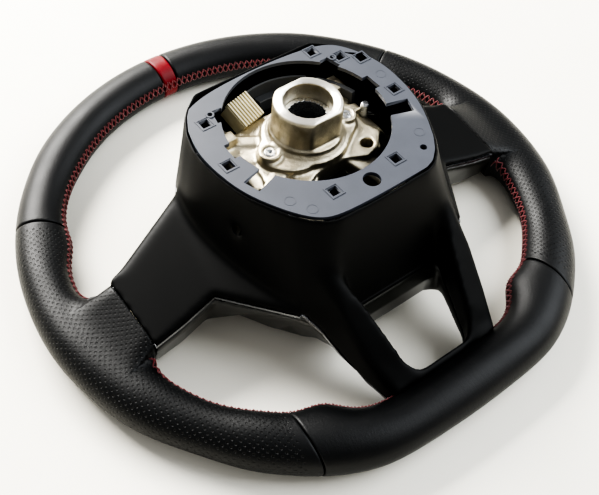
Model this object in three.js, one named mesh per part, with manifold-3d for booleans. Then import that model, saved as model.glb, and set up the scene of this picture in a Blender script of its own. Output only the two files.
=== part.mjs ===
// Flat-bottomed, leather-covered steering wheel on a splined hub, in millimetres.
// Origin: steering axis at the hub's column-side end face. +Z points to the column, +Y to 12 o'clock.
// Inside the file every height is taken from the rim's mid-plane; the last group shifts it to the hub.
import * as THREE from 'three';
import { mergeVertices } from 'three/addons/utils/BufferGeometryUtils.js';
import Module from 'manifold-3d';

const wasm = await Module();
wasm.setup();

// ---------------------------------------------------------------- driving dimensions
const GAP = 0.3; // between pieces that touch
const HUB_HEIGHT = 107; // rim mid-plane to the hub's end face

const RIM_RADIUS = 169; // rim centreline
const FLAT_DROP = 160.3; // hub axis to the centreline of the flat bottom
const FLAT_SHARPNESS = 60; // how tightly the circle turns into the flat
const RIM_STEP = 7.5; // degrees between rim sections
const RIM_SIDES = 10;
const RIM_FLATNESS = 0.85; // grip thickness over grip width
const CORE_RADIUS = 6;
const CORE_SIDES = 8;
const LEATHER = 1.4;
const BAND_WIDTH = 12.4;
const UPPER_SEAM = 60; // clock degrees from 12 o'clock to the seam
const LOWER_SEAM = 143.5;
const BULGE_HEIGHT = 3.5; // thumb rest on the rim's inner side, next to each seam
const BULGE_SPREAD = 7; // degrees
const BULGE_SHIFT = 6; // degrees from the seam to the bulge
// [clock degrees, half width of the grip]
const GRIP_WIDTHS = [
  [0, 16.5], [35, 16.3], [50, 15.4], [75, 15.6], [95, 17], [110, 17.3], [124, 15.6],
  [138, 17.6], [150, 18.3], [164, 17.3], [180, 17.8],
];

const WALL = 2.4; // housing wall
const FRONT = -6; // front face of the housing
const SEAM = 34; // parting surface of cover and frame, near the hub
const BELLY = 26; // level at which the housing is widest
const STRIP = 1.4; // bright strip held in the parting plane

const PLATE_TOP = 92.7;
const PLATE_THICKNESS = 2.6;
const PLATE_EDGE = 1.3; // cover wall that shows round the plate
const OPENING_RADIUS = 51.5;
const SKIRT_LEVEL = 37; // level at which the bowl meets the spokes
const CLIP_HOLE = 6;

const BOSS_RADIUS = 21.5;
const BOSS_FLAT = 18.7;
const BOSS_BASE = 80;
const BOSS_ROOT_RADIUS = 27;
const BORE_RADIUS = 15;
const SPLINE_RADIUS = 11.5;
const SPLINE_DEPTH = 0.9;
const SPLINE_TEETH = 24;
const BUSH_DROP = 12; // end face down to the splined bush
const WEB_LOW = 64; // cast web under the boss
const WEB_HIGH = 75;

const SPOKE_END = 138; // where the leather takes over on the side spokes
const WINDOW_TOP = -99.6; // wall over the lower window, at the rim plane
const WINDOW_LEAN = 0.27; // that wall leans towards the hub as it rises to the plate
const WINDOW_BOTTOM = -142.5;
const WINDOW_BOTTOM_HALF = 24;
const WINDOW_TAPER = 0.257; // half width gained for each millimetre towards the hub
const WINDOW_CORNER = 8;
const VALLEY_TOP = 86; // where that wall runs into the bowl, between the legs

const PAD_FRONT = -12;
const PAD_BACK = 14;
const PAD_GAP = 1; // all round the moving pad
const PAD_WALL = 2.6;
const EMBLEM_RADIUS = 19;
const EMBLEM_THICKNESS = 1.4;
const MODULE_PLATE_LOW = 9;
const SHEET = 2; // pressed steel plates
const CAN_RADIUS = 28;
const BASE_PLATE_LOW = 26;
const SPRING_RADIUS = 5.2;
const SPRING_WIRE = 0.7;
const SPRING_TURNS = 4;
const PIN_RADIUS = 2;

const PANEL_FACE = -8;
const PANEL_THICKNESS = 3;
const PANEL_X = 89; // centre of each switch cluster
const PANEL_Y = -11;
const PANEL_LENGTH = 42;
const PANEL_HEIGHT = 30;
const BUTTON_GAP = 0.5;
const BUTTON_PROUD = 1.4;
const ROLLER_RADIUS = 7;
const ROLLER_WIDTH = 7;

// ---------------------------------------------------------------- outlines, right half, top to bottom
const PLATE_HALF = [
  [0, 55.5], [44, 55.5], [55, 47], [60.5, 41], [67.5, 29], [71.5, 15.5], [72.5, 5], [71.5, -10],
  [69.5, -22], [66.5, -32.5], [61.5, -43], [54.5, -56], [48, -64.5], [40.5, -70.8], [32.5, -73.5], [0, -74],
];
const SKIRT_HALF = [
  [0, 60], [48, 60], [61, 51], [67, 44], [74, 31], [78, 16], [79, 5], [78.5, -10],
  [77, -24], [75, -37], [72, -52], [68, -68], [64, -81], [55, -91], [45, -95.5], [0, -95.5],
];
const FRONT_HALF = [
  [0, 53], [44, 53], [55, 45], [60.5, 39], [67, 28], [71, 15], [72, 5], [71.5, -10],
  [70.5, -23], [69.5, -34], [68, -48], [62, -63], [53, -75.5], [43, -84], [30, -92], [0, -92],
];
const PAD_HALF = [
  [0, 44], [46, 43], [55, 38], [59, 28], [60, 5], [58, -18], [50, -46], [42, -62], [30, -68], [0, -70],
];
const SPRING_SPOTS = { left: [-44, 16], right: [44, 16], lower: [0, -56] };

// ---------------------------------------------------------------- small helpers
const radians = (degrees) => THREE.MathUtils.degToRad(degrees);
const vector = (x, y, z) => new THREE.Vector3(x, y, z);

// A mirrored closed outline from its right half.
function mirrored(half) {
  const right = half.map(([x, y]) => [x, y]);
  const left = half.slice(1, -1).reverse().map(([x, y]) => [-x, y]);
  return [...right, ...left];
}

// The outline moved outwards by `distance`, for outlines listed clockwise.
function offset(outline, distance) {
  const count = outline.length;
  return outline.map((point, index) => {
    const before = outline[(index + count - 1) % count];
    const after = outline[(index + 1) % count];
    const first = new THREE.Vector2(before[1] - point[1], point[0] - before[0]).normalize();
    const second = new THREE.Vector2(point[1] - after[1], after[0] - point[0]).normalize();
    const normal = first.add(second).normalize();
    const miter = distance / Math.max(0.5, normal.dot(second));
    return [point[0] + normal.x * miter, point[1] + normal.y * miter];
  });
}

const ringAt = (outline, z) => outline.map(([x, y]) => vector(x, y, z));

function circle(radius, [x, y] = [0, 0], count = 24) {
  return Array.from({ length: count }, (unused, index) => {
    const angle = (2 * Math.PI * index) / count;
    return [x + radius * Math.cos(angle), y + radius * Math.sin(angle)];
  });
}

const rectangle = (x, y, width, height) => [
  [x - width / 2, y - height / 2], [x - width / 2, y + height / 2],
  [x + width / 2, y + height / 2], [x + width / 2, y - height / 2],
];

// A rounded rectangle with clipped corners, clockwise.
function softRectangle(x, y, width, height, corner) {
  const w = width / 2;
  const h = height / 2;
  return [
    [x - w, y - h + corner], [x - w, y + h - corner], [x - w + corner, y + h], [x + w - corner, y + h],
    [x + w, y + h - corner], [x + w, y - h + corner], [x + w - corner, y - h], [x - w + corner, y - h],
  ];
}

// Triangles that close one ring, wound like the ring itself.
function capFaces(ring, first) {
  const normal = vector(0, 0, 0);
  ring.forEach((point, index) => {
    normal.add(vector(0, 0, 0).crossVectors(point, ring[(index + 1) % ring.length]));
  });
  const size = [Math.abs(normal.x), Math.abs(normal.y), Math.abs(normal.z)];
  const drop = size.indexOf(Math.max(...size));
  const flat = ring.map((point) => {
    const values = point.toArray();
    values.splice(drop, 1);
    return new THREE.Vector2(...values);
  });
  const faces = THREE.ShapeUtils.triangulateShape(flat, []);
  const areaOf = (points) => THREE.ShapeUtils.area(points);
  const sameTurn = areaOf(flat) * faces.reduce((sum, face) => sum + areaOf(face.map((k) => flat[k])), 0) > 0;
  return faces.map(([a, b, c]) => (sameTurn ? [first + a, first + b, first + c] : [first + a, first + c, first + b]));
}

// A closed surface through rings of equal point count.
function skin(rings, closed = false) {
  const count = rings[0].length;
  const faces = [];
  const bands = closed ? rings.length : rings.length - 1;
  for (let band = 0; band < bands; band += 1) {
    const near = band * count;
    const far = ((band + 1) % rings.length) * count;
    for (let index = 0; index < count; index += 1) {
      const next = (index + 1) % count;
      faces.push([near + index, near + next, far + next]);
      faces.push([near + index, far + next, far + index]);
    }
  }
  if (!closed) {
    capFaces(rings[0], 0).forEach(([a, b, c]) => faces.push([a, c, b]));
    capFaces(rings.at(-1), (rings.length - 1) * count).forEach((face) => faces.push(face));
  }
  const geometry = new THREE.BufferGeometry();
  const numbers = rings.flat().flatMap((point) => point.toArray());
  geometry.setAttribute('position', new THREE.Float32BufferAttribute(numbers, 3));
  geometry.setIndex(faces.flat());
  return solid(geometry);
}

// Any closed geometry as a manifold solid with its faces pointing out.
function solid(source) {
  const geometry = source.clone();
  geometry.deleteAttribute('normal');
  geometry.deleteAttribute('uv');
  const merged = mergeVertices(geometry, 1e-4);
  const vertProperties = new Float32Array(merged.attributes.position.array);
  const triVerts = new Uint32Array(merged.index.array);
  const corners = [vector(0, 0, 0), vector(0, 0, 0), vector(0, 0, 0)];
  let volume = 0;
  for (let face = 0; face < triVerts.length; face += 3) {
    corners.forEach((corner, index) => corner.fromArray(vertProperties, triVerts[face + index] * 3));
    volume += corners[0].dot(corners[1].clone().cross(corners[2]));
  }
  if (volume < 0) {
    for (let face = 0; face < triVerts.length; face += 3) {
      [triVerts[face], triVerts[face + 1]] = [triVerts[face + 1], triVerts[face]];
    }
  }
  return new wasm.Manifold(new wasm.Mesh({ numProp: 3, vertProperties, triVerts }));
}

function prism(outline, low, high) {
  const shape = new THREE.Shape(outline.map(([x, y]) => new THREE.Vector2(x, y)));
  const geometry = new THREE.ExtrudeGeometry(shape, { depth: high - low, bevelEnabled: false });
  return solid(geometry.translate(0, 0, low));
}

const cylinder = (radius, low, high, centre, count) => prism(circle(radius, centre, count), low, high);
const loft = (levels) => skin(levels.map(([outline, z]) => ringAt(outline, z)));

function box(from, to) {
  const size = to.map((value, axis) => value - from[axis]);
  const centre = to.map((value, axis) => (value + from[axis]) / 2);
  return solid(new THREE.BoxGeometry(...size).translate(...centre));
}

// A round piece from [radius, height] points, turned about Z or moved to `centre`.
function turned(profile, [x, y] = [0, 0], count = 24) {
  const points = profile.map(([radius, height]) => new THREE.Vector2(radius, height));
  const geometry = new THREE.LatheGeometry(points, count);
  return solid(geometry.rotateX(Math.PI / 2).translate(x, y, 0));
}

const join = (solids) => solids.reduce((sum, piece) => sum.add(piece));
const cut = (body, tools) => tools.reduce((left, tool) => left.subtract(tool), body);

const group = new THREE.Group();

function addNode(name, body, color, roughness, metalness = 0) {
  const mesh = body.getMesh();
  const geometry = new THREE.BufferGeometry();
  geometry.setAttribute('position', new THREE.BufferAttribute(new Float32Array(mesh.vertProperties), 3));
  geometry.setIndex(new THREE.BufferAttribute(new Uint32Array(mesh.triVerts), 1));
  geometry.computeVertexNormals();
  const material = new THREE.MeshStandardMaterial({ color, roughness, metalness });
  const node = new THREE.Mesh(geometry, material);
  node.name = name;
  group.add(node);
}

const BLACK_LEATHER = '#17181a';
const RED_LEATHER = '#b8101a';
const BLACK_PLASTIC = '#151617';
const GLOSS_BLACK = '#08090a';
const GREY_PLASTIC = '#7a808c';
const SATIN_SILVER = '#a9abad';
const CAST_METAL = '#b9ad98';
const STEEL = '#9a9c9f';

// ---------------------------------------------------------------- rim
const clockAngle = (polar) => Math.abs(THREE.MathUtils.euclideanModulo(90 - polar + 180, 360) - 180);

function rimRadius(polar) {
  const circlePull = (1 / RIM_RADIUS) ** FLAT_SHARPNESS;
  const downwards = Math.max(0, -Math.sin(radians(polar)));
  const flatPull = (downwards / FLAT_DROP) ** FLAT_SHARPNESS;
  return (circlePull + flatPull) ** (-1 / FLAT_SHARPNESS);
}

function gripHalfWidth(clock) {
  const next = Math.max(1, GRIP_WIDTHS.findIndex(([angle]) => angle >= clock));
  const [lowAngle, lowWidth] = GRIP_WIDTHS[next - 1];
  const [highAngle, highWidth] = GRIP_WIDTHS[next];
  const share = THREE.MathUtils.smoothstep(clock, lowAngle, highAngle);
  return THREE.MathUtils.lerp(lowWidth, highWidth, share);
}

function thumbBulge(clock) {
  const spots = [UPPER_SEAM + BULGE_SHIFT, LOWER_SEAM + BULGE_SHIFT];
  return spots.reduce((sum, spot) => sum + BULGE_HEIGHT * Math.exp(-(((clock - spot) / BULGE_SPREAD) ** 2)), 0);
}

// One section of the grip, in the plane through the steering axis.
function gripSection(polar, inset) {
  const clock = clockAngle(polar);
  const width = gripHalfWidth(clock);
  return Array.from({ length: RIM_SIDES }, (unused, index) => {
    const turn = (2 * Math.PI * index) / RIM_SIDES;
    const inner = Math.cos(turn) < 0 ? thumbBulge(clock) : 0;
    const radius = rimRadius(polar) + Math.cos(turn) * (width + inner - inset);
    const height = Math.sin(turn) * (width * RIM_FLATNESS - inset);
    return vector(radius * Math.cos(radians(polar)), radius * Math.sin(radians(polar)), height);
  });
}

function coreSection(polar, radius) {
  return Array.from({ length: CORE_SIDES }, (unused, index) => {
    const turn = (2 * Math.PI * index) / CORE_SIDES;
    const reach = rimRadius(polar) + Math.cos(turn) * radius;
    return vector(reach * Math.cos(radians(polar)), reach * Math.sin(radians(polar)), Math.sin(turn) * radius);
  });
}

const wholeTurn = Array.from({ length: 360 / RIM_STEP }, (unused, index) => index * RIM_STEP);
const wholeGrip = (inset) => skin(wholeTurn.map((polar) => gripSection(polar, inset)), true);
const wholeCore = (radius) => skin(wholeTurn.map((polar) => coreSection(polar, radius)), true);

// A wedge about the steering axis, between two polar angles.
function wedge(from, to) {
  const reach = 2 * RIM_RADIUS;
  const steps = Math.ceil((to - from) / 60);
  const arc = Array.from({ length: steps + 1 }, (unused, index) => {
    const angle = radians(from + ((to - from) * index) / steps);
    return [reach * Math.cos(angle), reach * Math.sin(angle)];
  });
  return prism([[0, 0], ...arc], -60, 60);
}

// The padded root that joins a side spoke to the rim. `side` is 1 on the right and -1 on the left.
// A hollow one starts `ahead` of the root's end, so that the leather is open there.
function spokeRoot(side, inset, ahead = 0) {
  const mouth = { x: SPOKE_END + GAP, top: 7.4, bottom: -42, backTop: 26.3, backBottom: 20.5, front: -6 };
  const stations = [
    ...(ahead > 0 ? [{ ...mouth, x: mouth.x - ahead }] : []),
    mouth,
    { x: SPOKE_END + 6, top: 9.5, bottom: -46, backTop: 23, backBottom: 18, front: -7 },
    { x: SPOKE_END + 11, top: 15, bottom: -53, backTop: 18, backBottom: 14, front: -8 },
    { x: RIM_RADIUS - 15, top: 21, bottom: -60, backTop: 10, backBottom: 9, front: -8 },
    { x: RIM_RADIUS - 5, top: 14, bottom: -52, backTop: 7, backBottom: 7, front: -6 },
  ];
  const rings = stations.map(({ x, top, bottom, backTop, backBottom, front }) => {
    const corner = 4;
    const outline = [
      [bottom + inset, front + inset + corner], [bottom + inset, backBottom - inset - corner],
      [bottom + inset + corner, backBottom - inset], [top - inset - corner, backTop - inset],
      [top - inset, backTop - inset - corner], [top - inset, front + inset + corner],
      [top - inset - corner, front + inset], [bottom + inset + corner, front + inset],
    ];
    return outline.map(([y, z]) => vector(side * x, y, z));
  });
  return skin(rings);
}

// ---------------------------------------------------------------- cast frame
// A bar through stations [x, y, z, half width, half thickness], mirrored by `side`.
// `across` is the plan direction of the width: 'y' for the side arms and 'x' for the lower ones.
function bar(stations, side, across, grow) {
  const rings = stations.map(([x, y, z, halfWidth, halfThickness]) => {
    const wide = halfWidth + grow;
    const thick = halfThickness + grow;
    const corners = [[-wide, -thick], [-wide, thick], [wide, thick], [wide, -thick]];
    return corners.map(([sideways, up]) => (across === 'y'
      ? vector(side * x, y + sideways, z + up)
      : vector(side * (x + sideways), y, z + up)));
  });
  return skin(rings);
}

// Each arm ends in a clasp round the rim's core.
const CLASP = 8.5;
const SIDE_ARM = [
  [34, 0, 69, 17, 5], [48, -1, 66, 15, 5], [62, -5, 46, 13, 5], [75, -8, 30, 12, 4],
  [100, -12, 21, 11, 4], [130, -16, 10, 9, 4], [RIM_RADIUS - 16, -17, 3, 8, 4],
  [RIM_RADIUS - 11, -17, 0, 8, 4.5], [RIM_RADIUS - CLASP, -17, 0, 8, CLASP],
  [RIM_RADIUS + CLASP, -17, 0, 8, CLASP],
];
const LOWER_ARM = [
  [18, -24, 69, 9, 5], [26, -40, 62, 8, 5], [38, -66, 48, 7, 4.5], [46.5, -88, 36, 5, 4],
  [41.3, -107, 23, 4, 4], [37.5, -125, 12, 4, 4], [33.5, -140, 3.5, 4, 3.5], [33, -146, 1, 4, 3.5],
  [33, -FLAT_DROP + CLASP, 0, 5, CLASP], [33, -FLAT_DROP - CLASP, 0, 5, CLASP],
];
const arms = (grow) => [-1, 1].flatMap((side) => [
  bar(SIDE_ARM, side, 'y', grow),
  bar(LOWER_ARM, side, 'x', grow),
]);

const SCREW_SPOTS = { left: [-29.2, -2.8], right: [29.2, -2.8] };
const LUG_SPOTS = { left: [-30, -24], right: [30, -24] };
const LOCATOR_SPOTS = { left: [-47, -1], right: [47, -1] };
const SCREW_BOSS_RADIUS = 7;
const SCREW_BOSS_TOP = 83;
const SCREW_HOLE_RADIUS = 2.5;
const SCREW_HEAD_RADIUS = 4;
const SCREW_SEAT = SCREW_BOSS_TOP - 3;
const LUG_RADIUS = 8;
const LUG_TOP = 72;
const LUG_HOLE_RADIUS = 4.2;
const POST_SPOTS = [[60, -5], [-60, -5], [34, -61], [-34, -61]];
const POST_RADIUS = 4.5;
const LOCATOR_RADIUS = 3;

function armature() {
  const web = prism(mirrored([
    [0, 30], [20, 30], [34, 27], [48, 26], [49, 14], [40, 8], [40, -10], [44, -20],
    [34, -30], [24, -33], [12, -27], [0, -27],
  ]), WEB_LOW, WEB_HIGH);
  const boss = turned([
    [0, WEB_LOW], [BOSS_ROOT_RADIUS, WEB_LOW], [BOSS_ROOT_RADIUS, WEB_HIGH + 1], [BOSS_RADIUS, BOSS_BASE],
    [BOSS_RADIUS, HUB_HEIGHT - 1.5], [BOSS_RADIUS - 1.5, HUB_HEIGHT], [0, HUB_HEIGHT],
  ], [0, 0], 32);
  const flats = [-1, 1].map((side) => box(
    [-40, side > 0 ? BOSS_FLAT : -40, BOSS_BASE + 1],
    [40, side > 0 ? 40 : -BOSS_FLAT, HUB_HEIGHT + 1],
  ));
  const screwBosses = Object.values(SCREW_SPOTS).map((spot) =>
    cylinder(SCREW_BOSS_RADIUS, WEB_LOW, SCREW_BOSS_TOP, spot, 16));
  const lugs = Object.values(LUG_SPOTS).map((spot) => cylinder(LUG_RADIUS, WEB_LOW - 3, LUG_TOP, spot, 20));
  const stops = [-1, 1].map((side) => prism(rectangle(side * 42, 22, 9, 8), WEB_LOW, WEB_HIGH + 7));
  const posts = POST_SPOTS.map((spot) => cylinder(POST_RADIUS, BASE_PLATE_LOW + SHEET + GAP, 46, spot, 12));
  const body = join([web, cut(boss, flats), ...screwBosses, ...lugs, ...stops, ...posts, ...arms(0)]);
  const bore = cylinder(BORE_RADIUS, WEB_LOW - 1, HUB_HEIGHT + 1, [0, 0], 32);
  const holes = [
    wholeCore(CORE_RADIUS + GAP),
    ...Object.values(SCREW_SPOTS).map((spot) => cylinder(SCREW_HOLE_RADIUS, SCREW_BOSS_TOP - 12, 99, spot, 12)),
    ...Object.values(SCREW_SPOTS).map((spot) => cylinder(SCREW_HEAD_RADIUS + GAP, SCREW_SEAT, 99, spot, 16)),
    ...Object.values(LUG_SPOTS).map((spot) => cylinder(LUG_HOLE_RADIUS, WEB_LOW - 6, 99, spot, 14)),
    ...Object.values(LOCATOR_SPOTS).map((spot) => cylinder(LOCATOR_RADIUS + GAP, WEB_HIGH - 8, 99, spot, 14)),
  ];
  return cut(body, [bore, ...holes]);
}

// Steel bush pressed into the boss, with splines for the column shaft.
function hubBush() {
  const teeth = Array.from({ length: SPLINE_TEETH * 2 }, (unused, index) => {
    const radius = index % 2 ? SPLINE_RADIUS : SPLINE_RADIUS + SPLINE_DEPTH;
    const angle = (Math.PI * index) / SPLINE_TEETH;
    return [radius * Math.cos(angle), radius * Math.sin(angle)];
  });
  const top = HUB_HEIGHT - BUSH_DROP;
  return cylinder(BORE_RADIUS - GAP, WEB_LOW, top, [0, 0], 32).subtract(prism(teeth, WEB_LOW - 1, top + 1));
}

// Socket screw sunk in its boss.
function hubScrew(spot) {
  const shank = SCREW_HOLE_RADIUS - GAP;
  const head = turned([
    [0, SCREW_SEAT - 7], [shank, SCREW_SEAT - 7], [shank, SCREW_SEAT + GAP],
    [SCREW_HEAD_RADIUS, SCREW_SEAT + GAP], [SCREW_HEAD_RADIUS, SCREW_SEAT + 2],
    [SCREW_HEAD_RADIUS - 0.8, SCREW_SEAT + 2.8], [0, SCREW_SEAT + 2.8],
  ], spot, 16);
  return head.subtract(prism(circle(1.8, spot, 6), SCREW_SEAT + 1, SCREW_SEAT + 5));
}

const locatorPin = (spot) => turned([
  [0, WEB_HIGH - 7], [LOCATOR_RADIUS, WEB_HIGH - 7], [LOCATOR_RADIUS, WEB_HIGH + 5],
  [LOCATOR_RADIUS - 1, WEB_HIGH + 6], [0, WEB_HIGH + 6],
], spot, 14);

// ---------------------------------------------------------------- hollow housing of cover and frame
const PLATE_OUTLINE = mirrored(PLATE_HALF);
const SKIRT_OUTLINE = mirrored(SKIRT_HALF);
const FRONT_OUTLINE = mirrored(FRONT_HALF);
const FLARE = 1.5; // the side spokes' walls lean out down to their widest level
// The parting surface falls outwards along the side spokes, as [x, z], and down the legs, as [y, z].
const SIDE_SEAM = [[62, SEAM], [SPOKE_END, SEAM - 17.5]];
const LEG_SEAM = [[82, SEAM], [107, SEAM - 19.5], [135, SEAM - 33.5]];

const SIDE_STATIONS = [
  { x: 64.5, top: 37, bottom: -82, roofTop: 46, roofBottom: 38, frontRise: 22 },
  { x: 78, top: 31.6, bottom: -62, roofTop: 42.5, roofBottom: 35, frontRise: 26 },
  { x: 94, top: 25.2, bottom: -38, roofTop: 38.4, roofBottom: 31, frontRise: 8 },
  { x: 118, top: 15.5, bottom: -41, roofTop: 31.8, roofBottom: 25, frontRise: 5 },
  { x: SPOKE_END, top: 7.4, bottom: -42, roofTop: 26.3, roofBottom: 20.5, frontRise: 4 },
];
// Legs of the lower spoke: outer edge of the roof, widest wall at `belly`, and the front face.
const LOWER_STATIONS = [
  { y: -66, roofHalf: 47, roofIn: 72, roofOut: 72, half: 62, belly: 34, frontHalf: 50, front: FRONT },
  { y: -84, roofHalf: 50, roofIn: 63, roofOut: 63, half: 62, belly: 32, frontHalf: 46, front: FRONT },
  { y: -95, roofHalf: 49.8, roofIn: 54, roofOut: 53, half: 56.5, belly: 22, frontHalf: 45, front: -1 },
  { y: -107, roofHalf: 49.2, roofIn: 43.9, roofOut: 41.5, half: 52.6, belly: 14, frontHalf: 46, front: 4 },
  { y: -125, roofHalf: 46.6, roofIn: 28.9, roofOut: 25.4, half: 48, belly: 8, frontHalf: 44.5, front: -2 },
  { y: -140, roofHalf: 42.4, roofIn: 15.6, roofOut: 14.2, half: 43, belly: 2, frontHalf: 40.5, front: FRONT },
  { y: -150, roofHalf: 39, roofIn: 8.5, roofOut: 8.4, half: 39.5, belly: 1, frontHalf: 38, front: FRONT },
];

function sideLoft(inset) {
  const mirroredStations = [
    ...SIDE_STATIONS.map((station) => ({ ...station, x: -station.x })).reverse(),
    ...SIDE_STATIONS,
  ];
  const rings = mirroredStations.map(({ x, top, bottom, roofTop, roofBottom, frontRise }) => {
    const atEnd = Math.abs(x) === SPOKE_END;
    const place = atEnd ? Math.sign(x) * (Math.abs(x) + inset) : x;
    const belly = roofBottom - 8;
    const outline = [
      [top - inset, roofTop - inset], [top + FLARE - inset, belly], [top - 5 - inset, FRONT + inset],
      [bottom + frontRise + inset, FRONT + inset], [bottom - FLARE + inset, belly],
      [bottom + inset, roofBottom - inset],
    ];
    return outline.map(([y, z]) => vector(place, y, z));
  });
  return skin(rings);
}

const windowHalf = (y) => WINDOW_BOTTOM_HALF + WINDOW_TAPER * (y - WINDOW_BOTTOM);

function lowerLoft(inset) {
  const rings = LOWER_STATIONS.map(({ y, roofHalf, roofIn, roofOut, half, belly, frontHalf, front }) => {
    const right = [
      [windowHalf(y), roofIn - inset], [roofHalf - inset, roofOut - inset], [half - inset, belly],
      [frontHalf - inset, front + inset],
    ];
    const left = right.map(([x, z]) => [-x, z]).reverse();
    return [...right, ...left].map(([x, z]) => vector(x, y, z));
  });
  return skin(rings);
}

// The bowl round the hub. The inner one is open at the top and has a seat for the plate.
function bowl(inset) {
  const levels = [
    [offset(FRONT_OUTLINE, -inset), FRONT + inset],
    [offset(SKIRT_OUTLINE, 1 - inset), BELLY],
    [offset(SKIRT_OUTLINE, -inset), SKIRT_LEVEL],
  ];
  if (inset === 0) {
    return loft([...levels, [PLATE_OUTLINE, PLATE_TOP]]);
  }
  const seat = PLATE_TOP - PLATE_THICKNESS - GAP;
  const hollow = loft([...levels, [offset(PLATE_OUTLINE, -inset), PLATE_TOP + 1]]);
  return hollow.add(prism(offset(PLATE_OUTLINE, -PLATE_EDGE), seat, PLATE_TOP + 1));
}

function windowSolid(grow) {
  const outlineAt = (z) => {
    const top = WINDOW_TOP + WINDOW_LEAN * z + grow;
    const bottom = WINDOW_BOTTOM - grow;
    const halfAt = (y) => windowHalf(y) + grow;
    const cut45 = 0.29 * WINDOW_CORNER;
    return mirrored([
      [0, top], [halfAt(top) - 2, top], [halfAt(top - 2), top - 2],
      [halfAt(bottom + WINDOW_CORNER), bottom + WINDOW_CORNER], [halfAt(bottom) - cut45, bottom + cut45],
      [halfAt(bottom) - WINDOW_CORNER, bottom], [0, bottom],
    ]);
  };
  return loft([[outlineAt(FRONT - 4), FRONT - 4], [outlineAt(VALLEY_TOP), VALLEY_TOP]]);
}

const housingBody = (inset) => join([sideLoft(inset), lowerLoft(inset), bowl(inset)]);

function housing() {
  const hollow = housingBody(WALL).subtract(windowSolid(WALL));
  return cut(housingBody(0), [hollow, windowSolid(0), wholeGrip(-GAP)]);
}

// Everything on the column side of the parting surface, which is moved by `shift`.
function aboveSeam(shift) {
  const far = 220;
  const downSides = [...SIDE_SEAM, [far, SIDE_SEAM.at(-1)[1]]];
  const acrossX = [...downSides.map(([x, z]) => [-x, z]).reverse(), ...downSides, [far, far], [-far, far]];
  const downLegs = [...LEG_SEAM, [far, LEG_SEAM.at(-1)[1]]];
  const acrossY = [...downLegs.map(([y, z]) => [-y, z]).reverse(), [far, SEAM], [far, far], [-far, far]];
  const raise = (z) => (z === far ? far : z + shift);
  const overX = skin([-far, far].map((y) => acrossX.map(([x, z]) => vector(x, y, raise(z)))));
  const overY = skin([-far, far].map((x) => acrossY.map(([y, z]) => vector(x, y, raise(z)))));
  return overX.add(overY);
}

const shell = housing();

const RELEASE_HOLES = [[-73, -28.6, 64], [73, -28.6, 64]];
const RELEASE_RADIUS = 2.6;

function rearCover() {
  const holes = RELEASE_HOLES.map(([x, y, z]) => solid(
    new THREE.CylinderGeometry(RELEASE_RADIUS, RELEASE_RADIUS, 16, 14).rotateZ(Math.PI / 2).translate(x, y, z),
  ));
  return cut(shell.intersect(aboveSeam(STRIP / 2 + GAP)), holes);
}

const padOutline = mirrored(PAD_HALF);
const panelOutline = (side, grow) =>
  softRectangle(side * PANEL_X, PANEL_Y, PANEL_LENGTH + 2 * grow, PANEL_HEIGHT + 2 * grow, 5);

function frontFrame() {
  const padHole = prism(offset(padOutline, PAD_GAP), FRONT - 1, FRONT + WALL + 1);
  const panelHoles = [-1, 1].map((side) => prism(panelOutline(side, GAP), FRONT - 1, FRONT + WALL + 1));
  return cut(shell.subtract(aboveSeam(-STRIP / 2 - GAP)), [padHole, ...panelHoles]);
}

const SPLIT_Y = -17; // the side spokes' ends part the strips here
const stripRegions = {
  trim_strip_upper: (ring) => ring.intersect(box([-200, SPLIT_Y, -50], [200, 200, 100])),
  trim_strip_left: (ring) => ring.intersect(box([-200, -200, -50], [0, SPLIT_Y, 100]))
    .subtract(windowSolid(WALL + GAP)),
  trim_strip_right: (ring) => ring.intersect(box([0, -200, -50], [200, SPLIT_Y, 100]))
    .subtract(windowSolid(WALL + GAP)),
  trim_strip_window: (ring) => ring.intersect(windowSolid(WALL + GAP)),
};

// ---------------------------------------------------------------- plate on the column side
const CLIP_HOLES = [
  [39.4, 45.8], [52, 32.6], [62.7, 24], [61.2, -10.1], [-61.5, -5.8], [22.2, -56], [-23.7, -55.6],
  [-53.5, 29.5],
];
const EYELETS = [[-47, 34], [47, 34]];
const EYELET_RADIUS = 1.5;
const LOWER_HOLE = [0, -60.8, 5.5];
const CORNER_HOLE = [42.1, -58.4, 2.2];
// Notches that widen the round opening, right half; the left half has them too.
const NOTCHES = [
  [[45, -3.5], [45, 8.5], [54.8, 8.5], [55.2, -3.5]],
  [[36, 24], [38.3, 35.8], [44.4, 36.2], [46.9, 25.8]],
  [[42, -16], [62, -21.4], [58.5, -31.9], [39, -25.4]],
];

function columnPlate() {
  const face = prism(offset(PLATE_OUTLINE, -PLATE_EDGE - GAP), PLATE_TOP - PLATE_THICKNESS, PLATE_TOP);
  const through = [PLATE_TOP - PLATE_THICKNESS - 1, PLATE_TOP + 1];
  const opening = cylinder(OPENING_RADIUS, ...through, [0, 0], 60);
  const squares = CLIP_HOLES.map(([x, y]) => prism(rectangle(x, y, CLIP_HOLE, CLIP_HOLE), ...through));
  const eyelets = EYELETS.map((spot) => cylinder(EYELET_RADIUS, ...through, spot, 12));
  const notches = [-1, 1].flatMap((side) => NOTCHES.map((notch) =>
    prism(notch.map(([x, y]) => [side * x, y]), ...through)));
  const rounds = [LOWER_HOLE, CORNER_HOLE].map(([x, y, radius]) => cylinder(radius, ...through, [x, y], 20));
  return cut(face, [opening, ...squares, ...eyelets, ...notches, ...rounds]);
}

const PLUG = { x: -21.5, y: 37.5, width: 18, depth: 6, turn: 13, low: 64, high: 86, ribs: 8 };

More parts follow.
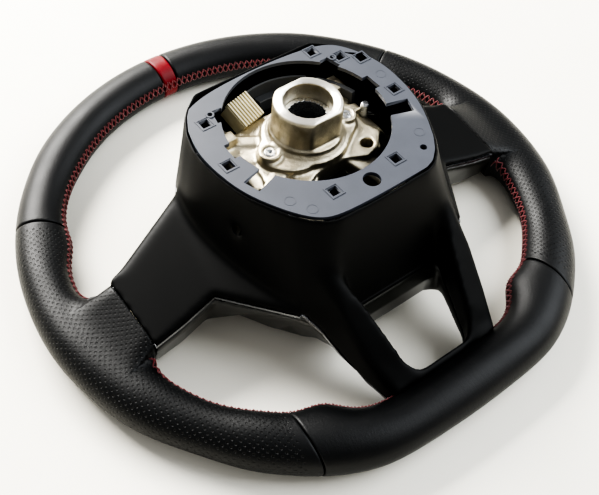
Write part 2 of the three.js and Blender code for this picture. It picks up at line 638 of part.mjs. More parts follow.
// Ribbed plug housing of the wiring loom, beside the boss.
function wiringConnector() {
  const pitch = PLUG.width / PLUG.ribs;
  const place = (outline) => outline.map(([x, y]) => {
    const point = new THREE.Vector2(x, y).rotateAround(new THREE.Vector2(), radians(PLUG.turn));
    return [point.x + PLUG.x, point.y + PLUG.y];
  });
  const body = prism(place(rectangle(0, 0, PLUG.width, PLUG.depth)), PLUG.low, PLUG.high);
  const bars = Array.from({ length: PLUG.ribs }, (unused, index) => {
    const centre = pitch * (index + 0.5) - PLUG.width / 2;
    return prism(place(rectangle(centre, 0, pitch * 0.55, PLUG.depth)), PLUG.high - 1, PLUG.high + 2);
  });
  return join([body, ...bars]);
}

// ---------------------------------------------------------------- moving pad with its horn springs
function padCover() {
  const outer = loft([
    [offset(padOutline, -9), PAD_FRONT], [offset(padOutline, -3), PAD_FRONT + 2],
    [padOutline, PAD_FRONT + 7], [padOutline, PAD_BACK],
  ]);
  const inner = loft([
    [offset(padOutline, -9 - PAD_WALL), PAD_FRONT + PAD_WALL],
    [offset(padOutline, -PAD_WALL), PAD_FRONT + 7 + PAD_WALL], [offset(padOutline, -PAD_WALL), PAD_BACK + 1],
  ]);
  return outer.subtract(inner);
}

const modulePlateTop = MODULE_PLATE_LOW + SHEET;

function modulePlate() {
  const plate = prism(offset(padOutline, -PAD_WALL - GAP), MODULE_PLATE_LOW, modulePlateTop);
  const holes = Object.values(SPRING_SPOTS).map((spot) =>
    cylinder(PIN_RADIUS + GAP, MODULE_PLATE_LOW - 1, modulePlateTop + 1, spot, 12));
  return cut(plate, [cylinder(CAN_RADIUS + GAP, MODULE_PLATE_LOW - 1, modulePlateTop + 1), ...holes]);
}

const gasGenerator = () => turned([
  [0, PAD_FRONT + 9], [CAN_RADIUS - 3, PAD_FRONT + 9], [CAN_RADIUS, PAD_FRONT + 12],
  [CAN_RADIUS, modulePlateTop + GAP], [CAN_RADIUS + 5, modulePlateTop + GAP],
  [CAN_RADIUS + 5, modulePlateTop + GAP + 1.6], [CAN_RADIUS - 2, modulePlateTop + GAP + 1.6],
  [CAN_RADIUS - 4, BASE_PLATE_LOW - 4], [0, BASE_PLATE_LOW - 4],
], [0, 0], 32);

function foldedBag() {
  const block = prism(offset(padOutline, -13), PAD_FRONT + PAD_WALL + 1, MODULE_PLATE_LOW - GAP);
  const canRoom = cylinder(CAN_RADIUS + GAP, PAD_FRONT + 9 - GAP, MODULE_PLATE_LOW + 1);
  const pinRoom = Object.values(SPRING_SPOTS).map((spot) =>
    cylinder(PIN_RADIUS + 3, MODULE_PLATE_LOW - 3, MODULE_PLATE_LOW + 1, spot, 12));
  return cut(block, [canRoom, ...pinRoom]);
}

// Headed pin: through the module plate, the spring and the base plate, where its head stops the pad.
function guidePin(spot) {
  const headLow = BASE_PLATE_LOW + SHEET + GAP;
  return turned([
    [0, MODULE_PLATE_LOW - 2], [PIN_RADIUS + 1.2, MODULE_PLATE_LOW - 2],
    [PIN_RADIUS + 1.2, MODULE_PLATE_LOW - GAP], [PIN_RADIUS, MODULE_PLATE_LOW - GAP], [PIN_RADIUS, headLow],
    [PIN_RADIUS + 1.4, headLow], [PIN_RADIUS + 1, headLow + 2], [0, headLow + 2],
  ], spot, 14);
}

class Helix extends THREE.Curve {
  constructor(radius, low, high, turns) {
    super();
    Object.assign(this, { radius, low, high, turns });
  }

  getPoint(share, target = vector(0, 0, 0)) {
    const angle = share * this.turns * 2 * Math.PI;
    const height = THREE.MathUtils.lerp(this.low, this.high, share);
    return target.set(this.radius * Math.cos(angle), this.radius * Math.sin(angle), height);
  }
}

function hornSpring([x, y]) {
  const low = modulePlateTop + GAP + SPRING_WIRE;
  const high = BASE_PLATE_LOW - GAP - SPRING_WIRE;
  const section = new THREE.Shape(circle(SPRING_WIRE, [0, 0], 5).map(([a, b]) => new THREE.Vector2(a, b)));
  const path = new Helix(SPRING_RADIUS - SPRING_WIRE, low, high, SPRING_TURNS);
  const geometry = new THREE.ExtrudeGeometry(section, {
    steps: SPRING_TURNS * 8, bevelEnabled: false, extrudePath: path,
  });
  return solid(geometry.translate(x, y, 0));
}

function hornBasePlate() {
  const outline = mirrored([
    [0, 30], [40, 26], [56, 20], [67, 4], [67, -14], [40, -46], [38, -68], [0, -68],
  ]);
  const through = [BASE_PLATE_LOW - 1, BASE_PLATE_LOW + SHEET + 1];
  const pinHoles = Object.values(SPRING_SPOTS).map((spot) => cylinder(PIN_RADIUS + GAP, ...through, spot, 12));
  const plate = prism(outline, BASE_PLATE_LOW, BASE_PLATE_LOW + SHEET);
  return cut(plate, [cylinder(CAN_RADIUS + 6, ...through), ...pinHoles]);
}

// ---------------------------------------------------------------- switch clusters
const BUTTONS = {
  upper_button: { x: 0, y: 9.5, width: 18, height: 7 },
  lower_button: { x: 0, y: -9.5, width: 18, height: 7 },
};
const ROCKER = { x: 14.5, y: 0, width: 7, height: 20 };
const ROLLER = { x: -14.5, y: 0 };
const ROLLER_CENTRE = PANEL_FACE + 4.5;
const AXLE_RADIUS = 1.2;
const AXLE_LENGTH = 1.4;
const MODULE_FRONT = PANEL_FACE + 6;
const MODULE_DEPTH = 9;
const FLANGE = 1;

const controlSpot = (side, { x, y }) => [side * (PANEL_X + x), PANEL_Y + y];
const rollerSlot = (side, grow) => rectangle(
  ...controlSpot(side, ROLLER),
  ROLLER_WIDTH + 2 * grow,
  2 * ROLLER_RADIUS + 2 * grow,
);

function switchPanel(side) {
  const plate = prism(panelOutline(side, 0), PANEL_FACE, PANEL_FACE + PANEL_THICKNESS);
  const through = [PANEL_FACE - 1, PANEL_FACE + PANEL_THICKNESS + 1];
  const holes = [...Object.values(BUTTONS), ROCKER].map((control) => prism(softRectangle(
    ...controlSpot(side, control), control.width + 2 * BUTTON_GAP, control.height + 2 * BUTTON_GAP, 1.5,
  ), ...through));
  return cut(plate, [...holes, prism(rollerSlot(side, BUTTON_GAP), ...through)]);
}

function button(side, control) {
  const [x, y] = controlSpot(side, control);
  const back = PANEL_FACE + PANEL_THICKNESS + GAP;
  const low = PANEL_FACE - BUTTON_PROUD;
  const cap = loft([
    [softRectangle(x, y, control.width - 1.4, control.height - 1.4, 1.5), low],
    [softRectangle(x, y, control.width, control.height, 1.5), low + 0.7],
    [softRectangle(x, y, control.width, control.height, 1.5), back + FLANGE],
  ]);
  const rim = BUTTON_GAP + 0.6;
  const flange = softRectangle(x, y, control.width + 2 * rim, control.height + 2 * rim, 1.5);
  return cap.add(prism(flange, back, back + FLANGE));
}

// Rocker that tips about an X axis through the panel's back face.
function rocker(side) {
  const [x, y] = controlSpot(side, ROCKER);
  const half = ROCKER.height / 2 - 0.4;
  const width = ROCKER.width / 2;
  const front = PANEL_FACE - BUTTON_PROUD;
  const profile = [
    [-half, front - 0.4], [0, front + 0.7], [half, front - 0.4], [half - 1.2, PANEL_FACE + 3.6],
    [0, PANEL_FACE + 4.6], [-half + 1.2, PANEL_FACE + 3.6],
  ];
  return skin([-width, width].map((across) => profile.map(([up, z]) => vector(x + across, y + up, z))));
}

function thumbRoller(side) {
  const [x, y] = controlSpot(side, ROLLER);
  const half = ROLLER_WIDTH / 2;
  const profile = [
    [0, -half - AXLE_LENGTH], [AXLE_RADIUS, -half - AXLE_LENGTH], [AXLE_RADIUS, -half],
    [ROLLER_RADIUS - 0.8, -half], [ROLLER_RADIUS, -half + 0.8], [ROLLER_RADIUS, half - 0.8],
    [ROLLER_RADIUS - 0.8, half], [AXLE_RADIUS, half], [AXLE_RADIUS, half + AXLE_LENGTH],
    [0, half + AXLE_LENGTH],
  ].map(([radius, height]) => new THREE.Vector2(radius, height));
  const geometry = new THREE.LatheGeometry(profile, 20).rotateZ(Math.PI / 2);
  return solid(geometry.translate(x, y, ROLLER_CENTRE));
}

// Circuit housing behind the panel, with cheeks that carry the roller's axle.
function switchModule(side) {
  const low = MODULE_FRONT;
  const block = prism(panelOutline(side, -2), low, low + MODULE_DEPTH);
  const [x, y] = controlSpot(side, ROLLER);
  const reach = ROLLER_WIDTH / 2 + BUTTON_GAP;
  const cheeks = [-1, 1].map((hand) => box(
    [x + hand * (reach + 0.9) - 0.9, y - 4, PANEL_FACE + PANEL_THICKNESS + GAP],
    [x + hand * (reach + 0.9) + 0.9, y + 4, low + 1],
  ));
  const rollerRoom = box(
    [x - reach, y - ROLLER_RADIUS - 1, PANEL_FACE],
    [x + reach, y + ROLLER_RADIUS + 1, ROLLER_CENTRE + ROLLER_RADIUS + 1],
  );
  const axle = solid(new THREE.CylinderGeometry(AXLE_RADIUS + GAP, AXLE_RADIUS + GAP, 14, 14)
    .rotateZ(Math.PI / 2).translate(x, y, ROLLER_CENTRE));
  const [rockerX, rockerY] = controlSpot(side, ROCKER);
  const rockerRoom = prism(rectangle(rockerX, rockerY, ROCKER.width + 2, ROCKER.height + 2), low - 1, low + 2);
  return cut(join([block, ...cheeks]), [rollerRoom, axle, rockerRoom]);
}

// ---------------------------------------------------------------- assembly
const bandHalf = THREE.MathUtils.radToDeg(BAND_WIDTH / 2 / RIM_RADIUS);
const seamGap = THREE.MathUtils.radToDeg(GAP / 2 / RIM_RADIUS);
const upper = 90 - UPPER_SEAM;
const lower = 90 - LOWER_SEAM;

const outerGrip = wholeGrip(0);
const innerGrip = wholeGrip(LEATHER);

function leatherPanel(from, to, extras = []) {
  const outer = outerGrip.intersect(wedge(from + seamGap, to - seamGap));
  const whole = join([outer, ...extras.map((extra) => extra(0))]);
  return cut(whole, [innerGrip, ...extras.map((extra) => extra(LEATHER))]);
}

const rootOf = (side) => (inset) => spokeRoot(side, inset, inset > 0 ? 2 : 0);
const padding = LEATHER + GAP;
const foamRoots = [-1, 1].map((side) => spokeRoot(side, padding));
const armRoom = arms(GAP);

addNode('armature', armature(), CAST_METAL, 0.45, 1);
addNode('rim_core', wholeCore(CORE_RADIUS), STEEL, 0.5, 1);
addNode('hub_bush', hubBush(), STEEL, 0.35, 1);
addNode('hub_screw_left', hubScrew(SCREW_SPOTS.left), STEEL, 0.3, 1);
addNode('hub_screw_right', hubScrew(SCREW_SPOTS.right), STEEL, 0.3, 1);
addNode('locating_pin_left', locatorPin(LOCATOR_SPOTS.left), STEEL, 0.25, 1);
addNode('locating_pin_right', locatorPin(LOCATOR_SPOTS.right), STEEL, 0.25, 1);

const foam = join([wholeGrip(padding), ...foamRoots]);
addNode('rim_foam', cut(foam, [wholeCore(CORE_RADIUS + GAP), ...armRoom]), '#3a3a3a', 0.95);
addNode('leather_top_left', leatherPanel(90 + bandHalf, 180 - upper), BLACK_LEATHER, 0.5);
addNode('leather_top_right', leatherPanel(upper, 90 - bandHalf), BLACK_LEATHER, 0.5);
addNode('centre_band', leatherPanel(90 - bandHalf, 90 + bandHalf), RED_LEATHER, 0.45);
addNode('leather_grip_left', leatherPanel(180 - upper, 180 - lower, [rootOf(-1)]), BLACK_LEATHER, 0.55);
addNode('leather_grip_right', leatherPanel(lower, upper, [rootOf(1)]), BLACK_LEATHER, 0.55);
addNode('leather_bottom', cut(leatherPanel(180 - lower, 360 + lower), armRoom), BLACK_LEATHER, 0.5);

addNode('rear_cover', rearCover(), BLACK_PLASTIC, 0.55);
addNode('column_plate', columnPlate(), GREY_PLASTIC, 0.6);
addNode('front_frame', frontFrame(), BLACK_PLASTIC, 0.5);
const stripRing = shell.intersect(aboveSeam(-STRIP / 2)).subtract(aboveSeam(STRIP / 2));
Object.entries(stripRegions).forEach(([name, region]) => addNode(name, region(stripRing), SATIN_SILVER, 0.3, 1));
addNode('wiring_connector', wiringConnector(), '#d8d2bd', 0.5);

addNode('horn_base_plate', hornBasePlate(), STEEL, 0.4, 1);
addNode('pad_cover', padCover(), BLACK_PLASTIC, 0.6);
addNode('emblem_disc', turned([
  [0, PAD_FRONT - GAP - EMBLEM_THICKNESS], [EMBLEM_RADIUS - 1, PAD_FRONT - GAP - EMBLEM_THICKNESS],
  [EMBLEM_RADIUS, PAD_FRONT - GAP - 0.5], [EMBLEM_RADIUS, PAD_FRONT - GAP], [0, PAD_FRONT - GAP],
], [0, 0], 32), SATIN_SILVER, 0.25, 1);
addNode('module_plate', modulePlate(), STEEL, 0.4, 1);
addNode('gas_generator', gasGenerator(), STEEL, 0.35, 1);
addNode('folded_bag', foldedBag(), '#d9d9d4', 0.9);
Object.entries(SPRING_SPOTS).forEach(([place, spot]) => {
  addNode(`horn_guide_pin_${place}`, guidePin(spot), STEEL, 0.3, 1);
  addNode(`horn_spring_${place}`, hornSpring(spot), STEEL, 0.3, 1);
});

[['left', -1], ['right', 1]].forEach(([place, side]) => {
  addNode(`switch_panel_${place}`, switchPanel(side), GLOSS_BLACK, 0.2);
  addNode(`switch_module_${place}`, switchModule(side), '#2a2c2e', 0.7);
  Object.entries(BUTTONS).forEach(([name, control]) => {
    addNode(`${name}_${place}`, button(side, control), BLACK_PLASTIC, 0.4);
  });
  addNode(`rocker_${place}`, rocker(side), BLACK_PLASTIC, 0.4);
  addNode(`thumb_roller_${place}`, thumbRoller(side), '#242628', 0.6);
});

group.position.z = -HUB_HEIGHT;
const wheel = new THREE.Group();
wheel.add(group);
wheel.updateMatrixWorld(true);

export default wheel;
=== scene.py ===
from math import atan2, cos, degrees, exp, hypot, pi, radians, sin, sqrt, tan

import bmesh
import bpy
import numpy as np
from mathutils import Matrix, Vector, geometry


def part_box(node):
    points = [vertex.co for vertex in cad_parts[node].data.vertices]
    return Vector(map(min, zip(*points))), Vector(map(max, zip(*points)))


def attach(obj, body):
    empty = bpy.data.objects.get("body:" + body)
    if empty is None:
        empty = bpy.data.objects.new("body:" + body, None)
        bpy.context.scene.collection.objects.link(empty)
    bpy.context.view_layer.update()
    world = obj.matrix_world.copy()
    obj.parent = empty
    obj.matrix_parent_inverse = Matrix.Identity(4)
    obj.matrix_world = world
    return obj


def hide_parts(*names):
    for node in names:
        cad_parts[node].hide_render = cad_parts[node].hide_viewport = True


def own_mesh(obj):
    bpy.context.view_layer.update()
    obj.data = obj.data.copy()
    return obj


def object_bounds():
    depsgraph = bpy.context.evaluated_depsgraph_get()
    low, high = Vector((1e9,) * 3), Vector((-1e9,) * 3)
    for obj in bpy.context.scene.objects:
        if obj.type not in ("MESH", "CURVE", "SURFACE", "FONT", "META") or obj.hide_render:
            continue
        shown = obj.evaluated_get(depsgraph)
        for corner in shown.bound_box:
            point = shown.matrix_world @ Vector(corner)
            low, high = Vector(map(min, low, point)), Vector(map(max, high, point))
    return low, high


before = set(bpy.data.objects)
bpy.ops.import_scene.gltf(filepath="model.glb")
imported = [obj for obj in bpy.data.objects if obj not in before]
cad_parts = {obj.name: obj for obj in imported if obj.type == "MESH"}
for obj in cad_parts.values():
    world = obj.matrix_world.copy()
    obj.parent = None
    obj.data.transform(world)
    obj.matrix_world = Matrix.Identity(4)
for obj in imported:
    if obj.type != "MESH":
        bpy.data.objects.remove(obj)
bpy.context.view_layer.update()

MM = 0.001
CORE_RADIUS = 6
core_low, core_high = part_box("rim_core")
RIM_PLANE = (core_low.z + core_high.z) / 2
RIM_RADIUS = (core_high.x - core_low.x) / 2 / MM - CORE_RADIUS
FLAT_DROP = -core_low.y / MM - CORE_RADIUS


def at(x, y, z):
    """A point in millimetres from the steering axis and the rim's mid-plane, as metres in the frame."""
    return Vector((x * MM, y * MM, RIM_PLANE + z * MM))


# ---- view: a three-quarter look down on the column side of the wheel
VIEW_AZIMUTH = radians(-42.23)
VIEW_ELEVATION = radians(51.02)
VIEW_ROLL = radians(5.80)
VIEW_DISTANCE = 0.6562
VIEW_TARGET = Vector((-0.0145, -0.0212, -0.107))
LENS = 60.1
SENSOR = 36.0


def aim_camera():
    """Places the scene's camera."""
    away = Vector((sin(VIEW_AZIMUTH) * cos(VIEW_ELEVATION), -cos(VIEW_AZIMUTH) * cos(VIEW_ELEVATION),
                   sin(VIEW_ELEVATION)))
    right = (-away).cross(Vector((0, 0, 1))).normalized()
    up = right.cross(-away)
    tilted_right = right * cos(VIEW_ROLL) + up * sin(VIEW_ROLL)
    tilted_up = up * cos(VIEW_ROLL) - right * sin(VIEW_ROLL)
    turn = Matrix((tilted_right, tilted_up, away)).transposed()
    data = bpy.data.cameras.new("view")
    data.lens = LENS
    data.sensor_width = SENSOR
    camera = bpy.data.objects.new("view", data)
    camera.matrix_world = Matrix.Translation(VIEW_TARGET + away * VIEW_DISTANCE) @ turn.to_4x4()
    bpy.context.collection.objects.link(camera)
    bpy.context.scene.camera = camera


aim_camera()


# ---- materials
def linear(colour):
    """An sRGB hex colour as the linear RGBA that a shader takes."""
    channels = [int(colour[i:i + 2], 16) / 255 for i in (1, 3, 5)]
    return [c / 12.92 if c <= 0.04045 else ((c + 0.055) / 1.055) ** 2.4 for c in channels] + [1]


def add(tree, kind, inputs=None, **settings):
    """Adds a shader node with its settings, then fills its sockets with values or links."""
    made = tree.nodes.new("ShaderNode" + kind)
    for setting, value in settings.items():
        setattr(made, setting, value)
    for socket, value in (inputs or {}).items():
        if isinstance(value, bpy.types.NodeSocket):
            tree.links.new(value, made.inputs[socket])
        else:
            made.inputs[socket].default_value = value
    return made


def surface(name, fixed):
    """A new material, with `fixed` values on the shader's own sockets."""
    material = bpy.data.materials.new(name)
    material.use_nodes = True
    shader = material.node_tree.nodes["Principled BSDF"]
    for socket, value in fixed.items():
        shader.inputs[socket].default_value = value
    return material, material.node_tree, shader


def dress(tree, shader, colour, roughness, height, depth_mm):
    """Joins colour, roughness and a relief of `depth_mm` to the shader."""
    bump = add(tree, "Bump", {"Height": height, "Distance": depth_mm * MM, "Strength": 1})
    tree.links.new(colour, shader.inputs["Base Color"])
    tree.links.new(roughness, shader.inputs["Roughness"])
    tree.links.new(bump.outputs[0], shader.inputs["Normal"])


def grained(name, dark, light, grain_mm, depth_mm, roughness, patch_mm=25, fixed=None):
    """Colour drifts over `patch_mm`, and a raised grain of `grain_mm` stands `depth_mm` proud and sets the
    gloss.
    """
    material, tree, shader = surface(name, fixed or {})
    place = add(tree, "TexCoord").outputs["Object"]
    patches = add(tree, "TexNoise", {"Vector": place, "Scale": 1 / (patch_mm * MM), "Detail": 4})
    tone = add(tree, "Mix", {0: patches.outputs[0], 6: linear(dark), 7: linear(light)}, data_type="RGBA")
    grain = add(tree, "TexNoise", {"Vector": place, "Scale": 1 / (grain_mm * MM), "Detail": 2})
    gloss = add(tree, "Mix", {0: grain.outputs[0], 2: roughness[0], 3: roughness[1]})
    dress(tree, shader, tone.outputs[2], gloss.outputs[0], grain.outputs[0], depth_mm)
    return material


PERFORATION_PITCH = 4.3  # between holes of one row; the next row is set half a pitch over
PERFORATION_RADIUS = 0.6
PERFORATION_EDGE = (1.35, 0.8)  # the hole's soft edge, as shares of its radius
PERFORATION_DEPTH = 5.0  # over the height of the grain
LEATHER_ROUGHNESS = (0.36, 0.5)
LEATHER_RELIEF = 0.09  # mm, coarser than real so that it shows
PEBBLE_SIZE, PORE_SIZE, SHEEN_PATCH = 1.1, 0.35, 18  # mm; the pebble is coarser too
STRETCH_MARK = (1.6, 14)  # mm along and across the rim


def nappa_leather(name, dark, light, perforated):
    """Nappa: fine pebble grain, faint stretch lines across the rim, and a broad satin sheen.
    Its coordinates are millimetres along the rim and round it."""
    material, tree, shader = surface(name, {"IOR": 1.5, "Specular IOR Level": 0.2})
    skin = add(tree, "UVMap", uv_map="skin_mm").outputs[0]
    place = add(tree, "TexCoord").outputs["Object"]
    pebble = add(tree, "TexVoronoi", {"Vector": place, "Scale": 1 / (PEBBLE_SIZE * MM)},
                 feature="SMOOTH_F1")
    fine = add(tree, "TexNoise", {"Vector": place, "Scale": 1 / (PORE_SIZE * MM), "Detail": 3})
    long_way = add(tree, "VectorMath", {0: skin, 1: (1 / STRETCH_MARK[0], 1 / STRETCH_MARK[1], 0)},
                   operation="MULTIPLY")
    stretch = add(tree, "TexNoise", {"Vector": long_way.outputs[0], "Scale": 1, "Detail": 2})
    patches = add(tree, "TexNoise", {"Vector": place, "Scale": 1 / (SHEEN_PATCH * MM), "Detail": 3})
    height = add(tree, "Math", {0: pebble.outputs["Distance"], 1: 0.5, 2: fine.outputs[0]},
                 operation="MULTIPLY_ADD")
    height = add(tree, "Math", {0: stretch.outputs[0], 1: 0.9, 2: height.outputs[0]},
                 operation="MULTIPLY_ADD").outputs[0]
    tone = add(tree, "Mix", {0: patches.outputs[0], 6: linear(dark), 7: linear(light)}, data_type="RGBA")
    colour = tone.outputs[2]
    if perforated:
        near = []
        for shift in (0, 0.5):
            cell = add(tree, "VectorMath", {0: skin, 1: [1 / PERFORATION_PITCH] * 3, 2: [shift] * 3},
                       operation="MULTIPLY_ADD")
            part = add(tree, "VectorMath", {0: cell.outputs[0]}, operation="FRACTION")
            centred = add(tree, "VectorMath", {0: part.outputs[0], 1: (0.5, 0.5, 0)}, operation="SUBTRACT")
            flat = add(tree, "VectorMath", {0: centred.outputs[0], 1: (1, 1, 0)}, operation="MULTIPLY")
            away = add(tree, "VectorMath", {0: flat.outputs[0]}, operation="LENGTH")
            near.append(away.outputs["Value"])
        nearest = add(tree, "Math", {0: near[0], 1: near[1]}, operation="MINIMUM").outputs[0]
        edge = PERFORATION_RADIUS / PERFORATION_PITCH
        hole = add(tree, "MapRange", {"Value": nearest, "From Min": edge * PERFORATION_EDGE[0],
                                      "From Max": edge * PERFORATION_EDGE[1]},
                   interpolation_type="SMOOTHSTEP").outputs[0]
        zone = add(tree, "Attribute", attribute_name="perforated").outputs["Fac"]
        hole = add(tree, "Math", {0: hole, 1: zone}, operation="MULTIPLY").outputs[0]
        # Painted shade: each hole is coloured near black for the shade inside it; the bump sinks it as
        # well.
        painted_hole_shade = {0: hole, 6: colour, 7: linear("#010101")}
        colour = add(tree, "Mix", painted_hole_shade, data_type="RGBA").outputs[2]
        height = add(tree, "Math", {0: hole, 1: -PERFORATION_DEPTH, 2: height},
                     operation="MULTIPLY_ADD").outputs[0]
    gloss = add(tree, "Mix", {0: patches.outputs[0], 2: LEATHER_ROUGHNESS[0], 3: LEATHER_ROUGHNESS[1]})
    dress(tree, shader, colour, gloss.outputs[0], height, LEATHER_RELIEF)
    return material


MACHINED_DEPTH = (0.9 * MM, 0.4 * MM)  # below the boss's end face, where the machined skin fades in
CAST_GRAIN, CAST_PATCH = 0.8, 9  # mm; the grain is coarser than real so that it shows
CAST_RELIEF = 0.25
RING_PITCH = 0.5  # mm between turning rings, coarser than real so that they show


def cast_magnesium(name, face_height, face_radius):
    """Die-cast magnesium: a warm silver skin with a coarse cast texture. The boss's end face is
    machined, so it is brighter and carries fine turning rings."""
    material, tree, shader = surface(name, {"Metallic": 1})
    place = add(tree, "TexCoord").outputs["Object"]
    patches = add(tree, "TexNoise", {"Vector": place, "Scale": 1 / (CAST_PATCH * MM), "Detail": 5})
    tone = add(tree, "Mix", {0: patches.outputs[0], 6: linear("#665b44"), 7: linear("#eee5cc")},
               data_type="RGBA")
    parts = add(tree, "SeparateXYZ", {0: place})
    flat = add(tree, "VectorMath", {0: place, 1: (1, 1, 0)}, operation="MULTIPLY")
    reach = add(tree, "VectorMath", {0: flat.outputs[0]}, operation="LENGTH").outputs["Value"]
    high = add(tree, "MapRange", {"Value": parts.outputs["Z"], "From Min": face_height - MACHINED_DEPTH[0],
                                  "From Max": face_height - MACHINED_DEPTH[1]}).outputs[0]
    inside = add(tree, "Math", {0: reach, 1: face_radius}, operation="LESS_THAN").outputs[0]
    machined = add(tree, "Math", {0: high, 1: inside}, operation="MULTIPLY").outputs[0]
    colour = add(tree, "Mix", {0: machined, 6: tone.outputs[2], 7: linear("#f0ece2")}, data_type="RGBA")
    cast = add(tree, "TexNoise", {"Vector": place, "Scale": 1 / (CAST_GRAIN * MM), "Detail": 4})
    gloss = add(tree, "Mix", {0: cast.outputs[0], 2: 0.26, 3: 0.5})
    gloss = add(tree, "Mix", {0: machined, 2: gloss.outputs[0], 3: 0.3})
    rings = add(tree, "Math", {0: reach, 1: 2 * pi / (RING_PITCH * MM)}, operation="MULTIPLY")
    rings = add(tree, "Math", {0: rings.outputs[0]}, operation="SINE")
    rings = add(tree, "Math", {0: rings.outputs[0], 1: 0.15}, operation="MULTIPLY")
    height = add(tree, "Mix", {0: machined, 2: cast.outputs[0], 3: rings.outputs[0]})
    dress(tree, shader, colour.outputs[2], gloss.outputs[0], height.outputs[0], CAST_RELIEF)
    return material


def drawn_steel(name, dark, light, roughness):
    """Machined or drawn steel: fine marks run one way and stretch the highlights."""
    material, tree, shader = surface(name, {"Metallic": 1})
    place = add(tree, "TexCoord").outputs["Object"]
    squeezed = add(tree, "VectorMath", {0: place, 1: (1 / (3 * MM), 1 / (3 * MM), 1 / (0.2 * MM))},
                   operation="MULTIPLY")
    marks = add(tree, "TexNoise", {"Vector": squeezed.outputs[0], "Scale": 1, "Detail": 3})
    tone = add(tree, "Mix", {0: marks.outputs[0], 6: linear(dark), 7: linear(light)}, data_type="RGBA")
    gloss = add(tree, "Mix", {0: marks.outputs[0], 2: roughness[0], 3: roughness[1]})
    dress(tree, shader, tone.outputs[2], gloss.outputs[0], marks.outputs[0], 0.02)
    return material


def twisted_thread(name, dark, light):
    """Bonded polyester sewing thread: plies at a slant, and a soft sheen on its fibres."""
    material, tree, shader = surface(name, {"Sheen Weight": 0.5, "Sheen Roughness": 0.4})
    place = add(tree, "TexCoord").outputs["Object"]
    plies = add(tree, "TexWave", {"Vector": place, "Scale": 1 / (1.6 * MM), "Distortion": 2},
                bands_direction="DIAGONAL")
    tone = add(tree, "Mix", {0: plies.outputs[1], 6: linear(dark), 7: linear(light)}, data_type="RGBA")
    gloss = add(tree, "Mix", {0: plies.outputs[1], 2: 0.7, 3: 0.5})
    dress(tree, shader, tone.outputs[2], gloss.outputs[0], plies.outputs[1], 0.12)
    return material


def folded_cloth(name, dark, light):
    """Woven nylon of the folded bag: a plain weave of 0.6 mm threads with a faint sheen."""
    material, tree, shader = surface(name, {"Sheen Weight": 0.2})
    place = add(tree, "TexCoord").outputs["Object"]
    waves = [add(tree, "TexWave", {"Vector": place, "Scale": 1 / (3.8 * MM)}, bands_direction=way)
             for way in ("X", "Y")]
    weave = add(tree, "Math", {0: waves[0].outputs[1], 1: waves[1].outputs[1]},
                operation="MULTIPLY").outputs[0]
    tone = add(tree, "Mix", {0: weave, 6: linear(dark), 7: linear(light)}, data_type="RGBA")
    gloss = add(tree, "Mix", {0: weave, 2: 0.9, 3: 0.75})
    dress(tree, shader, tone.outputs[2], gloss.outputs[0], weave, 0.1)
    return material


HUB_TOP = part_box("armature")[1].z
BOSS_RADIUS = 21.4 * MM
# Nappa is matt close up and takes a broad satin highlight along the rim.
smooth_leather = nappa_leather("smooth_nappa_leather", "#030405", "#070809", False)
perforated_leather = nappa_leather("perforated_nappa_leather", "#030405", "#070809", True)
# The dyed band is the one saturated colour on the wheel; its thread is duller and more matt.
red_leather = nappa_leather("red_nappa_leather", "#56010a", "#6f0410", False)
red_thread = twisted_thread("bonded_red_polyester_thread", "#4a030c", "#7a0916")
# Warm, uneven and bright against the cold grey plate.
casting = cast_magnesium("die_cast_magnesium", HUB_TOP, BOSS_RADIUS)
# Zinc plate is bright, pressed steel is dull, and drawn wire lies between.
bright_steel = drawn_steel("zinc_plated_steel", "#a8aaad", "#d4d6d8", (0.2, 0.34))
dark_steel = drawn_steel("pressed_mild_steel", "#5c5f63", "#7d8084", (0.36, 0.55))
spring_wire = drawn_steel("drawn_spring_wire", "#6d7074", "#93969a", (0.25, 0.4))
# Spark-eroded mould texture: a very fine matt grain that keeps the black deep.
black_abs = grained("spark_eroded_black_abs", "#020303", "#050505", 0.45, 0.02, (0.4, 0.54),
                    fixed={"Specular IOR Level": 0.1})
# The frame round the pad is satin black and picks up the light of whatever lies under it.
satin_abs = grained("satin_black_abs", "#121310", "#1a1b17", 0.5, 0.01, (0.25, 0.34),
                    fixed={"Specular IOR Level": 0.7})
# Glass-smooth where the mould is polished: the plate is even and faintly shiny.
grey_nylon = grained("moulded_blue_grey_nylon", "#33363d", "#3e4149", 0.5, 0.02, (0.38, 0.52), 14)
# Chrome over a satin moulding: a soft bright line, not a mirror.
satin_chrome = grained("satin_chromed_abs", "#6c6d6f", "#858688", 0.3, 0.008, (0.22, 0.32),
                       fixed={"Metallic": 1.0})
# Undyed nylon is cream and a little blotchy.
cream_nylon = grained("natural_nylon", "#b5ab84", "#d9d0b0", 0.6, 0.03, (0.35, 0.5), 6)
# The driver's side: a soft matt skin, glossy black panels and satin keys.
soft_pad = grained("soft_touch_pu_skin", "#0e0f10", "#151617", 0.9, 0.08, (0.5, 0.65))
gloss_black = grained("piano_black_abs", "#030304", "#050506", 1.2, 0.001, (0.06, 0.1),
                      fixed={"Coat Weight": 0.4, "Coat Roughness": 0.04})
dark_nylon = grained("glass_filled_dark_nylon", "#191b1d", "#26282b", 0.5, 0.05, (0.5, 0.7), 8)
button_abs = grained("satin_black_button_abs", "#0b0c0d", "#121314", 0.4, 0.02, (0.35, 0.48))
# Hidden under the leather and the pad.
rim_foam = grained("self_skinning_pu_foam", "#202020", "#303030", 0.7, 0.1, (0.8, 0.95))
bag_cloth = folded_cloth("woven_nylon_bag_cloth", "#b9b8b0", "#dcdbd4")


# ---- making pieces
def piece_of(name, vertices, faces, smooth=True):
    """A mesh object from points in metres and faces."""
    mesh = bpy.data.meshes.new(name)
    mesh.from_pydata([tuple(v) for v in vertices], [], [tuple(f) for f in faces])
    mesh.polygons.foreach_set("use_smooth", [smooth] * len(mesh.polygons))
    piece = bpy.data.objects.new(name, mesh)
    bpy.context.collection.objects.link(piece)
    return piece


